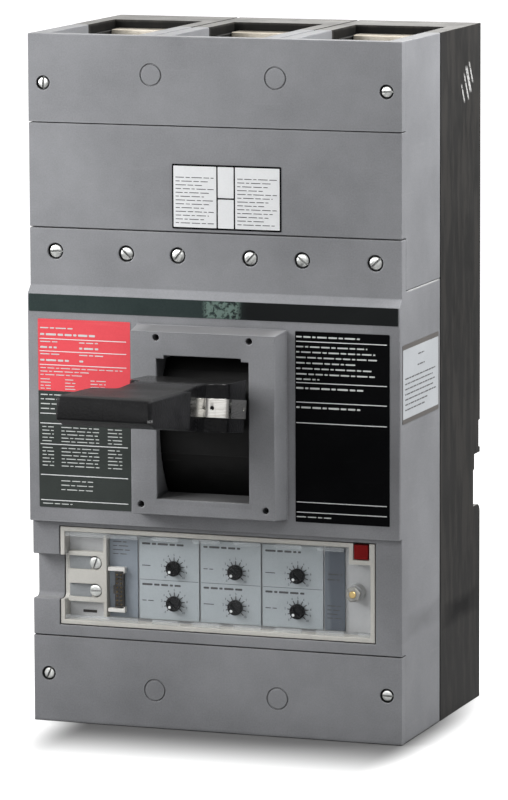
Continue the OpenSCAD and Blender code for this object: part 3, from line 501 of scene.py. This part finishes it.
def plate(shape, rim, under, over):
    """Faces of a flat plate from the points of its rim, between two heights."""
    foot, face = ([shape.verts.new((x, y, level)) for x, y in rim] for level in (under, over))
    for i in range(len(rim)):
        j = (i + 1) % len(rim)
        shape.faces.new((foot[i], foot[j], face[j], face[i]))
    shape.faces.new(foot[::-1])
    shape.faces.new(face)


def flat(shape, left, right, low, high, corner, under=0.0, over=FOIL):
    """Faces of a flat plate with rounded corners, drawn in its own plane between two heights."""
    rim = []
    for x, y, start in ((right - corner, high - corner, 0), (left + corner, high - corner, 90),
                        (left + corner, low + corner, 180), (right - corner, low + corner, 270)):
        for turn in range(start, start + 91, 30):
            rim.append((x + corner * cos(radians(turn)), y + corner * sin(radians(turn))))
    plate(shape, rim, under, over)


def lay(name, shape, place, material, body="housing"):
    """A piece from a shape drawn flat in millimetres, set at its place on a body."""
    bmesh.ops.transform(shape, matrix=Matrix.Scale(MM, 4) @ place, verts=shape.verts)
    piece = as_object(name, shape)
    piece.data.materials.append(material)
    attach(piece, body)
    return piece


def lay_flats(name, fields, corner, place, material, under=0.0, over=FOIL):
    """A piece of flat plates, each given by its left, right, low and high limits."""
    shape = bmesh.new()
    for left, right, low, high in fields:
        flat(shape, left, right, low, high, corner, under, over)
    lay(name, shape, place, material)


def lay_print(name, rows, place, material):
    """A piece of print: rows of bars of word length, each row (left, right, level, tall, start)."""
    lengths = (5.2, 2.6, 6.4, 3.4, 4.4, 2.0, 5.8)
    between = 1.0
    shape = bmesh.new()
    for left, right, level, tall, start in rows:
        while right - left > tall:
            end = min(left + lengths[start % len(lengths)], right)
            flat(shape, left, end, level - tall / 2, level + tall / 2, tall / 3, FOIL, FOIL + INK)
            left, start = end + between, start + 1
    lay(name, shape, place, material)


def on_front(depth):
    return Matrix.Translation((0, depth, 0)) @ TO_FRONT


def on_side(proud=0.0):
    return Matrix.Translation((SIDE + proud, 0, 0)) @ TO_RIGHT


def foil(name, deep, pale, rubbed, shine=0.3, **more):
    return moulding(name, deep, pale, rubbed, dusty=0.0, worn=0.15, rough=(0.34, 0.46), clouds=30.0,
                    edge=0.0004, rubs=0.06, shine=shine, pits=0.01, **more)


worn_through = {"X": 0.0065, "Y": -0.1548, "Z": 0.2497, "Half X": 0.0125, "Half Z": 0.0060,
                "Across": 330.0, "Upright": 330.0, "Ragged": 0.7, "Bare": 0.47}
darker_half = {"X": 0.067, "Y": -0.1548, "Z": 0.25, "Half X": 0.060, "Half Z": 0.02,
               "Across": 60.0, "Upright": 60.0, "Ragged": 0.3, "Bare": -1.0}
band_foil = foil("band foil", (0.018, 0.028, 0.027), (0.032, 0.046, 0.045), (0.16, 0.18, 0.17), 0.1,
                 marks=[(0.9, (0.005, 0.005, 0.0055), darker_half),
                        (0.75, (0.17, 0.24, 0.21), worn_through)])
red_foil = foil("red foil", (0.66, 0.062, 0.078), (0.74, 0.078, 0.095), (0.8, 0.4, 0.4))
dark_foil = foil("dark foil", (0.018, 0.023, 0.021), (0.027, 0.033, 0.030), (0.2, 0.2, 0.2))
black_foil = foil("black foil", (0.0015, 0.0016, 0.0019), (0.0035, 0.0037, 0.0042),
                  (0.08, 0.08, 0.08), shine=0.02)
white_foil = foil("white foil", (0.66, 0.67, 0.68), (0.74, 0.75, 0.76), (0.5, 0.48, 0.44))
side_foil = foil("side sheet", (0.43, 0.45, 0.47), (0.51, 0.53, 0.55), (0.4, 0.39, 0.36))
brown_foil = foil("brown backing", (0.095, 0.088, 0.083), (0.125, 0.115, 0.108), (0.2, 0.18, 0.16))
ink = foil("grey ink", (0.055, 0.057, 0.06), (0.085, 0.087, 0.09), (0.2, 0.2, 0.2))
pale_ink = foil("pale ink", (0.50, 0.52, 0.51), (0.60, 0.62, 0.61), (0.4, 0.4, 0.4))

for name, slot, paint, *field in (
        ("name_band", "label_dark", band_foil, -113.4, 113.4, 244.6, 254.8),
        ("red_table", "label_red", red_foil, -107.8, -50.2, 198.0, 240.3),
        ("dark_table", "label_dark", dark_foil, -107.8, -50.2, 129.0, 197.9),
        ("black_form", "label_dark", black_foil, 51.3, 108.3, 128.5, 239.4)):
    lay_flats(name, [field], 0.5, on_front(PANEL), paint)

rules = []
for left, right, levels in ((-106.8, -52.6, (228.6, 221.3, 213.3)),
                            (-106.8, -52.0, (184.5, 178.7, 166.4, 148.2, 133.2)),
                            (51.9, 106.7, (233.6, 209.7, 198.4, 186.4, 140.2, 134.3))):
    rules += [(left, right, level - RULE / 2, level + RULE / 2) for level in levels]
lay_flats("table_rules", rules, 0.1, on_front(PANEL), white_foil, FOIL, FOIL + INK)

rows = [(-106.4, -86.0, 235.0, 0.7), (-106.4, -72.0, 231.2, 1.2), (-106.4, -95.5, 226.9, 0.6),
        (-82.0, -69.0, 226.9, 0.6), (-106.4, -96.0, 223.6, 1.1), (-82.0, -70.0, 223.6, 1.1),
        (-106.4, -94.0, 219.6, 0.6), (-82.0, -67.0, 219.6, 0.6), (-106.4, -88.5, 216.0, 1.1),
        (-82.0, -79.5, 216.0, 1.1), (-106.4, -55.0, 211.4, 0.5), (-106.4, -76.0, 209.4, 0.5),
        (-106.4, -79.0, 207.4, 0.5)]
for level in (204.8, 202.9, 201.0, 199.3):
    rows += [(-106.4, -100.0, level, 0.5), (-91.0, -84.5, level, 0.5), (-75.0, -65.5, level, 0.5)]
rows += [(-106.4, -90.0, level, 0.6) for level in (195.6, 193.0, 190.2, 187.4)]
for level in (176.6, 174.5, 172.4, 170.3, 168.3, 164.3, 162.2, 160.1, 158.0, 155.9, 153.8):
    rows += [(-105.6, -98.4, level, 0.5), (-93.6, -70.0, level, 0.5), (-64.5, -55.6, level, 0.5)]
rows += [(-94.0, -74.0, level, 0.5) for level in (145.0, 142.4, 139.8)]
rows += [(-105.6, -87.0, 131.2, 0.5), (51.9, 90.5, 236.3, 0.9)]
rows += [(51.9, right, level, 0.8) for level, right in (
    (230.6, 95.0), (227.5, 99.8), (224.4, 101.5), (221.2, 88.8), (218.0, 97.5), (214.8, 100.0),
    (211.8, 66.0))]
rows += [(51.9, 92.5, 206.6, 1.0), (51.9, 92.5, 195.4, 1.0), (51.9, 73.0, 131.6, 0.6)]
lay_print("table_print", [(*row, start) for start, row in enumerate(rows)], on_front(PANEL),
          pale_ink)

lay_flats("front_sticker_border", [(-25.2, 41.5, 295.5, 333.0)], 0.6, on_front(FRONT),
          black_foil)
fields = ((-24.3, 2.0, 296.5, 332.0), (2.9, 12.6, 296.5, 313.2), (2.9, 12.6, 314.1, 332.0),
          (13.5, 40.6, 296.5, 332.0))
lay_flats("front_sticker_fields", fields, 0.3, on_front(FRONT), white_foil, FOIL,
          FOIL + INK)
rows = []
for row in range(13):
    level = 325.4 - 2.2 * row
    rows += [(-23.0, 0.4 - 3.0 * (row % 3), level, 0.45, row),
             (14.8, 39.0 - 2.6 * (row % 4), level, 0.45, row + 3)]
lay_print("front_sticker_print", rows, on_front(FRONT - INK), ink)

lay_flats("side_label_backing", [(-149.3, -82.3, 187.2, 232.6)], 0.5, on_side(),
          brown_foil)
lay_flats("side_label_sheet", [(-149.0, -83.2, 189.8, 229.9)], 0.4, on_side(),
          side_foil, FOIL, FOIL + INK)
rows = ((-121.0, -110.0, 224.6), (-122.0, -109.0, 218.4), (-145.0, -88.0, 212.8),
        (-145.0, -94.0, 209.8), (-145.0, -90.0, 206.8), (-145.0, -92.0, 203.8),
        (-145.0, -88.0, 200.8), (-145.0, -104.0, 197.8), (-145.0, -108.0, 194.8))
lay_print("side_label_print", [(*row, 0.75, start) for start, row in enumerate(rows)], on_side(INK),
          ink)

# Toggle handle with its spring clip and dust shutter
# The handle is one black phenolic moulding, glossy at the hub where the mould was polished and
# coarse at the grip; a bright steel clip is sprung around its flanks, and a thin curved shutter
# that moves with it closes the opening.
parting = {"Y": -0.3265, "Z": 0.2155, "Half X": 0.00035, "Half Y": 0.003, "Half Z": 0.011,
           "Ragged": 0.0, "Bare": -1.0}
chip = {"X": 0.0272, "Y": -0.3266, "Z": 0.2106, "Half X": 0.0011, "Half Y": 0.003, "Half Z": 0.0009,
        "Across": 700.0, "Upright": 700.0, "Ragged": 0.9, "Bare": 0.44}
# Painted light: a broken lighter patch on the grip's right flank.
grip_flank_light = {"X": 0.030, "Y": -0.285, "Z": 0.211, "Half X": 0.004, "Half Y": 0.05,
                "Half Z": 0.017, "Across": 120.0, "Upright": 160.0, "Ragged": 0.8, "Bare": 0.30,
                "Core": 0.2}
handle_phenolic = moulding(
    "handle phenolic", (0.0015, 0.0015, 0.0018), (0.008, 0.008, 0.0088), (0.075, 0.075, 0.077),
    dusty=0.04, worn=0.25, rough=(0.30, 0.46), clouds=40.0, grain=700.0, pits=0.42, rubs=0.18,
    shine=0.12, polished=(-0.245, -0.215, 0.14),
    marks=[(0.75, (0.028, 0.028, 0.030), grip_flank_light), (0.8, (0.002, 0.002, 0.002), parting),
           (0.7, (0.26, 0.26, 0.26), chip)])
rounded("lever", "lever_moulding", 0.9, handle_phenolic, 3, radians(70))
shutter_black = moulding(
    "shutter black", (0.007, 0.007, 0.007), (0.014, 0.014, 0.014), (0.06, 0.06, 0.06),
    dusty=0.02, worn=0.6, rough=(0.42, 0.58), clouds=60.0, rubs=0.3, shine=0.15, dirt_and_shade=0.9)
rounded("lever_shutter", "lever_shutter_sheet", 0.3, shutter_black)
spring_steel, tree, skin = new_material("spring steel")
skin.inputs["Metallic"].default_value = 1.0
fine = placed(tree, handling, {"Across": 2600.0, "Along": 60.0, "Bare": 0.5})["Mask"]
tree.links.new(tint(tree, fine, (0.74, 0.73, 0.70), (0.60, 0.58, 0.54)), skin.inputs["Base Color"])
tree.links.new(spread(tree, fine, 0.0, 1.0, 0.10, 0.24), skin.inputs["Roughness"])
rounded("lever_clip", "lever_clip_spring", 0.06, spring_steel)

# Trip unit frame and body
# The trip unit sits in a pocket of the main cover: a cream thermoplastic frame, yellowed with age,
# around a pale grey body that carries plates, dials, plug block and connector.
cream = moulding("aged cream", (0.45, 0.44, 0.41), (0.55, 0.54, 0.505), (0.36, 0.26, 0.16),
                 dusty=0.10, worn=0.22, rough=(0.40, 0.52), clouds=45.0, edge=0.0008, rubs=0.10,
                 shine=0.25)
rounded("trip_bezel", "trip_bezel_frame", 0.35, cream)
unit_grey = moulding("unit grey", (0.42, 0.43, 0.44), (0.50, 0.51, 0.52), (0.60, 0.60, 0.58),
                     dusty=0.15, worn=0.25, rough=(0.4, 0.55), clouds=40.0, edge=0.0008, rubs=0.1)
rounded("trip_body", "trip_body_moulding", 0.25, unit_grey)

# Dial plates and strips
# Thin printed plastic sheets glued on the unit: three pale blue-grey plates with dial scales, and a
# darker strip at each end. The scales are fine dark ticks with plain numbers.
plate_paint = moulding("pale plate", (0.34, 0.378, 0.40), (0.40, 0.438, 0.46), (0.55, 0.56, 0.56),
                       dusty=0.0, worn=0.2, rough=(0.42, 0.52), clouds=35.0, edge=0.0006, rubs=0.08)
darker_end = {"X": 0.0735, "Y": -0.142, "Z": 0.088, "Half X": 0.0065, "Half Z": 0.04,
              "Ragged": 0.9, "Across": 60.0, "Upright": 20.0, "Bare": -1.0}
darker_strip = {**darker_end, "X": 0.071, "Half X": 0.0095, "Ragged": 0.0}
strip_paint = moulding("slate strip", (0.20, 0.23, 0.265), (0.24, 0.27, 0.305), (0.4, 0.41, 0.42),
                       dusty=0.0, worn=0.2, rough=(0.42, 0.52), clouds=35.0, edge=0.0006, rubs=0.1,
                       marks=[(0.7, (0.095, 0.11, 0.13), darker_strip),
                              (0.6, (0.06, 0.07, 0.09), darker_end)])
rounded("dial_plates", "dial_plates_sheet", 0.15, plate_paint)
rounded("side_strips", "side_strips_sheet", 0.15, strip_paint)

PLATE, UNIT_FACE = reach("dial_plates", 1)
DIALS = [f"dial_{number}" for number in range(1, 7)]
pivots = {joint["child"]: joint["pos_m"] for joint in frame["joints"] if "pos_m" in joint}
centres = [(round(pivots[dial][0] / MM, 3), round(pivots[dial][2] / MM, 3)) for dial in DIALS]
DIAL_X = sorted({x for x, z in centres})
LINE_Z, LINE_WIDE, LINE_LEFT, LINE_RIGHT = 86.9, 0.25, 21.3, 15.1
GAPS_X, GAP_WIDE, GAP_LOW, GAP_HIGH = (-12.25, 26.05), 0.3, 63.8, 112.0
LINE_CORNER = 0.05
TICKS, FIRST_TICK, SWEEP = 11, 225, 270
TICK_NEAR, TICK_FAR, TICK_WIDE = 4.4, 6.6, 0.75
FIGURE_OUT_X, FIGURE_OUT_Z, FIGURE_TALL = 8.0, 7.8, 1.9


def tick(shape, x, z, turned):
    """A thin ray of print beside a dial, narrower at its far end."""
    ray = Vector((cos(turned), sin(turned)))
    across = Vector((-ray.y, ray.x)) * TICK_WIDE / 2
    near = Vector((x, z)) + ray * TICK_NEAR
    far = Vector((x, z)) + ray * TICK_FAR
    plate(shape, [near - across, far - across * 0.7, far + across * 0.7, near + across], 0.0, INK)


def figure(shape, figures, x, z):
    """Plain figures of a scale, centred at a place."""
    curve = bpy.data.curves.new("figures", "FONT")
    curve.body = figures
    curve.size = FIGURE_TALL
    curve.align_x, curve.align_y = "CENTER", "CENTER"
    curve.extrude = INK / 2
    curve.resolution_u = 3
    writing = bpy.data.objects.new("figures", curve)
    bpy.context.scene.collection.objects.link(writing)
    before = len(shape.verts)
    shape.from_mesh(bpy.data.meshes.new_from_object(
        writing.evaluated_get(bpy.context.evaluated_depsgraph_get())))
    shape.verts.ensure_lookup_table()
    bmesh.ops.translate(shape, vec=(x, z, INK / 2), verts=shape.verts[before:])
    bpy.data.objects.remove(writing)


shape = bmesh.new()
numbers = bmesh.new()
for x, z in centres:
    for step in range(TICKS):
        turned = radians(FIRST_TICK - SWEEP * step / (TICKS - 1))
        tick(shape, x, z, turned)
        figure(numbers, str(step), x + FIGURE_OUT_X * cos(turned), z + FIGURE_OUT_Z * sin(turned))
for x in DIAL_X:
    flat(shape, x - LINE_LEFT, x + LINE_RIGHT, LINE_Z, LINE_Z + LINE_WIDE, LINE_CORNER, 0.0, INK)
for x in GAPS_X:
    flat(shape, x - GAP_WIDE / 2, x + GAP_WIDE / 2, GAP_LOW, GAP_HIGH, LINE_CORNER, 0.0, INK)
lay("dial_ticks", shape, on_front(PLATE), ink)
lay("dial_figures", numbers, on_front(PLATE), ink)
rows = []
for row, x in enumerate(DIAL_X):
    left = x - 20.0
    rows += [(left, x + 8.0 - 3 * row, 108.4, 1.2, row), (left, x + 4.0, 84.2, 1.2, row + 2),
             (left, x - 14.0, 95.4, 0.5, row), (left, x - 13.0, 74.6, 0.5, row + 1)]
for row in range(4):
    rows += [(66.4, 75.0 - row % 3, 78.0 - 2.4 * row, 0.6, row),
             (-66.5, -58.0 + row % 3, 108.5 - 2.4 * row, 0.5, row)]
rows += [(67.0, 75.6, 96.6, 1.0, 2), (66.6, 76.0, 93.4, 1.0, 4)]
lay_print("plate_print", rows, on_front(PLATE + FOIL), ink)

# Plug block, connector and latches
# A cream terminal block with two screw terminals takes leads from the side notch, with a grey liner
# in each lead way; beside it a black pin connector with gilt pins is held by two white latches.
WAY_Z = (95.4, 78.9)
WAY_LEFT, WAY_RIGHT, WAY_HALF, WAY_DEPTH = -93.2, -79.6, 4.0, 2.5
LINER, LINER_CORNER = 0.4, 0.4
PLUG_SCREW_X, PLUG_BORE = -76.6, 3.1
PLUG_FRONT = reach("plug_block", 1)[0]
rounded("plug_block", "plug_block_moulding", 0.2, cream)
liner_grey = moulding("liner grey", (0.21, 0.225, 0.235), (0.27, 0.285, 0.295), (0.4, 0.4, 0.4),
                      dusty=0.0, worn=0.2, clouds=80.0, edge=0.0005, rubs=0.2)
ways = [(WAY_LEFT, WAY_RIGHT, level - WAY_HALF, level + WAY_HALF) for level in WAY_Z]
lay_flats("lead_way_liners", ways, LINER_CORNER, on_front(PLUG_FRONT + WAY_DEPTH),
          liner_grey, 0.0, LINER)
plug_places = [(PLUG_SCREW_X, level, turned) for level, turned in zip(WAY_Z, (70, 2))]
set_screws("plug_screws", slotted_head(7.7, 2.3, 1.0, 1.0), plug_places, PLUG_FRONT + PLUG_BORE)
connector_black = moulding(
    "connector black", (0.012, 0.011, 0.010), (0.03, 0.027, 0.024), (0.1, 0.09, 0.08),
    dusty=0.1, worn=0.3, clouds=200.0, edge=0.0004)
rounded("pin_connector", "pin_connector_housing", 0.15, connector_black)
lay_flats("unit_slot", [(-86.0, -77.4, 65.0, 66.6)], 0.3, on_front(UNIT_FACE),
          connector_black, 0.0, 0.3)
latch_white = moulding("latch white", (0.62, 0.615, 0.59), (0.70, 0.69, 0.665), (0.45, 0.42, 0.36),
                       dusty=0.1, worn=0.2, clouds=100.0, edge=0.0005)
rounded("connector_latches", "connector_latches_moulding", 0.2, latch_white)

gilt = metal("gilt brass", (0.50, 0.36, 0.15), (0.72, 0.54, 0.26), (0.30, 0.20, 0.10), 500.0, 0.3)
PIN_PITCH, PIN_ROWS, PIN_WELL = 2.54, 8, 1.5
PINS_X, PINS_Z = -61.85, 80.3
PIN_FOOT = reach("pin_connector", 1)[0] + PIN_WELL
shape = bmesh.new()
for side in (-1, 1):
    for row in range(PIN_ROWS):
        before = len(shape.verts)
        lathe(shape, [(0.44, 0), (0.44, 1.5), (0.18, 1.95)], 4)
        shape.verts.ensure_lookup_table()
        place = Matrix.Translation((PINS_X + side * PIN_PITCH / 2,
                                    PINS_Z + (row - (PIN_ROWS - 1) / 2) * PIN_PITCH, 0))
        bmesh.ops.transform(shape, verts=shape.verts[before:],
                            matrix=place @ Matrix.Rotation(pi / 4, 4, "Z"))
lay("connector_pins", shape, on_front(PIN_FOOT), gilt)

# Dials and trip button
# Six small black dials turn on short shafts with a screwdriver slot; the red trip button pushes in.
# Both are moulded in polycarbonate with a dull skin.
DIAL_FACE = reach(DIALS[0], 1)[0]
DOT_OUT = 1.95
dial_black = moulding("dial black", (0.003, 0.003, 0.0035), (0.008, 0.008, 0.009),
                      (0.07, 0.07, 0.07), dusty=0.0, worn=0.25, rough=(0.4, 0.55), clouds=150.0,
                      edge=0.0005, rubs=0.12, shine=0.1)
for dial, (x, z) in zip(DIALS, centres):
    rounded(dial, dial + "_knob", 0.2, dial_black)
    shape = bmesh.new()
    lathe(shape, [(0.85, -0.05), (0.85, 0.10), (0.65, 0.15)], 20)
    bmesh.ops.translate(shape, vec=(x - DOT_OUT, z - DOT_OUT, 0), verts=shape.verts)
    lay(dial + "_dot", shape, on_front(DIAL_FACE), white_foil, dial)
button_red = moulding("button red", (0.14, 0.003, 0.0035), (0.20, 0.005, 0.0055),
                      (0.35, 0.05, 0.04), dusty=0.05, worn=0.25, rough=(0.35, 0.5), clouds=120.0,
                      edge=0.0006, rubs=0.1, shine=0.1)
rounded("trip_button", "trip_button_cap", 0.3, button_red)

# Clear cover
# A tray of clear polycarbonate over the dials, slightly hazed by age, with rims along its upper and
# lower edge that are broken by clip gaps. A stud and nut hold it at the right.
RIM, VEIL_FROM, VEIL_FULL = 0.5, 0.1, 0.3
WINDOW = reach("clear_cover", 1)[0] + RIM
hazed, tree, skin = new_material("hazed clear")
tone = placed(tree, mottle, {"Clouds": 22.0})["Tone"]
wear = placed(tree, edge_rub, {"Radius": 0.0008})["Mask"]
tree.links.new(tint(tree, tone, (0.72, 0.77, 0.80), (0.84, 0.87, 0.88)), skin.inputs["Base Color"])
veil = spread(tree, tone, 0.2, 0.9, 0.001, 0.018)
rim = spread(tree, parts(tree, here(tree))[1], (WINDOW - VEIL_FROM) * MM,
             (WINDOW - VEIL_FULL) * MM)
veil = plus(tree, veil, times(tree, rim, 0.22))
tree.links.new(plus(tree, veil, times(tree, wear, 0.35)), skin.inputs["Alpha"])
tree.links.new(spread(tree, tone, 0.2, 0.9, 0.06, 0.2), skin.inputs["Roughness"])
rounded("clear_cover", "clear_cover_tray", 0.15, hazed)

# Sealing nut
# A plated hex nut on a brass stud closes the clear cover at its right end. Its corners are turned
# back and the stud stands a little proud.
NUT_X, NUT_Z = 84.6, 86.9
NUT_TURN = radians(12)
# Painted shade darkens the nut's corners along with its grime.
dull_nut = metal("dull nut", (0.24, 0.24, 0.23), (0.44, 0.43, 0.40), (0.20, 0.15, 0.10), 300.0, 0.6,
                 dirt_and_shade=1.0)
shape = bmesh.new()
lathe(shape, [(4.45, 0), (4.75, 0.15), (4.75, 1.5), (4.1, 1.95), (2.5, 1.95)], 6)
bmesh.ops.transform(shape, verts=shape.verts, matrix=Matrix.Translation((NUT_X, NUT_Z, 0))
                    @ Matrix.Rotation(NUT_TURN, 4, "Z"))
lay("sealing_nut", shape, on_front(WINDOW), dull_nut)
shape = bmesh.new()
lathe(shape, [(2.1, 1.0), (2.1, 2.3), (1.7, 2.75), (0.5, 2.85)], 24)
bmesh.ops.translate(shape, vec=(NUT_X, NUT_Z, 0), verts=shape.verts)
turned_smooth(lay("sealing_stud", shape, on_front(WINDOW), gilt))

# Studio
# A white floor with a painted shadow in front of and beside the footprint, a white surround for
# what the camera and the shiny parts see, and four soft boxes: left, right, in front and high
# behind.
FLOOR_RADIUS = 7.0
FLOOR_DROP = 0.0002
PAINTED_SHADOW_GREY, FLOOR_GREY = (0.10, 0.10, 0.10), (0.42, 0.42, 0.42)
shape = bmesh.new()
bmesh.ops.create_circle(shape, cap_ends=True, radius=FLOOR_RADIUS, segments=96)
floor = as_object("floor", shape)
floor.location.z = -FLOOR_DROP


def outside(tree, centre, half, stretch):
    """How far a point of the floor lies outside an oblong, stretched along X and Y."""
    off = vector(tree, "ABSOLUTE", vector(tree, "SUBTRACT", here(tree), centre))
    out = vector(tree, "MAXIMUM", vector(tree, "SUBTRACT", off, half), (0.0, 0.0, 0.0))
    return vector(tree, "LENGTH", vector(tree, "MULTIPLY", out, stretch))


pale, tree, skin = new_material("pale floor")
skin.inputs["Roughness"].default_value = 0.7
# Painted shadow: the floor's colour darkens towards the footprint, and its white lift for the
# camera fades there.
drop_shadow_reach = outside(tree, (0.016, -0.1265, 0.0), (0.092, 0.0215, 0.0), (3.6, 1.0, 0.0))
contact_shadow_reach = outside(tree, (0.0, -0.070, 0.0), (0.105, 0.070, 0.0), (1.0, 1.0, 0.0))
tree.links.new(tint(tree, spread(tree, drop_shadow_reach, 0.012, 0.105), PAINTED_SHADOW_GREY, FLOOR_GREY),
               skin.inputs["Base Color"])
glow = put(tree, "ShaderNodeMapRange", {"Value": drop_shadow_reach, 1: 0.015, 2: 0.145},
           interpolation_type="SMOOTHSTEP").outputs[0]
glow = times(tree, glow, spread(tree, contact_shadow_reach, 0.0, 0.02, 0.5, 1.0))
path = put(tree, "ShaderNodeLightPath")
lifted = put(tree, "ShaderNodeEmission", {
    "Color": (1, 1, 1, 1), "Strength": times(tree, path.outputs["Is Camera Ray"], glow)})
both = put(tree, "ShaderNodeAddShader", {0: skin.outputs[0], 1: lifted.outputs[0]})
tree.links.new(both.outputs[0], tree.nodes["Material Output"].inputs["Surface"])
floor.data.materials.append(pale)

world = bpy.data.worlds.new("studio")
bpy.context.scene.world = world
world.use_nodes = True
tree = world.node_tree
soft = tree.nodes["Background"]
soft.inputs["Color"].default_value = (1, 1, 1, 1)
soft.inputs["Strength"].default_value = 0.14
white = put(tree, "ShaderNodeBackground", {"Color": (1, 1, 1, 1), "Strength": 1.0})
path = put(tree, "ShaderNodeLightPath")
seen = plus(tree, plus(tree, path.outputs["Is Camera Ray"], path.outputs["Is Glossy Ray"]),
            path.outputs["Is Transmission Ray"])
mixed = put(tree, "ShaderNodeMixShader", {0: seen, 1: soft.outputs[0], 2: white.outputs[0]})
tree.links.new(mixed.outputs[0], tree.nodes["World Output"].inputs["Surface"])

AIM = Vector((0.0, -0.08, 0.2))


def soft_box(name, place, side, power):
    """A square soft box that looks at the object."""
    light = bpy.data.lights.new(name, "AREA")
    light.size = side
    light.energy = power
    lamp = bpy.data.objects.new(name, light)
    lamp.location = place
    lamp.visible_camera = False
    lamp.rotation_euler = (AIM - Vector(place)).to_track_quat("-Z", "Y").to_euler()
    bpy.context.scene.collection.objects.link(lamp)


soft_box("left box", (-0.50, -0.43, 0.49), 0.35, 4.8)
soft_box("right box", (0.60, -0.10, 0.95), 0.5, 13.4)
soft_box("front box", (-0.25, -1.7, 0.85), 0.8, 5.6)
soft_box("back box", (0.1, 1.0, 1.5), 1.0, 6.5)

EYE = (1.035, -2.964, 0.643)
AZIMUTH, ELEVATION, ROLL = radians(19.755), radians(8.474), radians(-0.2513)
back = Vector((sin(AZIMUTH) * cos(ELEVATION), -cos(AZIMUTH) * cos(ELEVATION), sin(ELEVATION)))
lens = bpy.data.cameras.new("camera")
lens.lens = 235.66
lens.sensor_width = 36.0
camera = bpy.data.objects.new("camera", lens)
level = (-back).to_track_quat("-Z", "Y").to_matrix()
camera.matrix_world = Matrix.Translation(EYE) @ (
    Matrix.Rotation(ROLL, 3, back) @ level).to_4x4()
bpy.context.scene.collection.objects.link(camera)
bpy.context.scene.camera = camera
bpy.context.scene.view_settings.view_transform = "Standard"
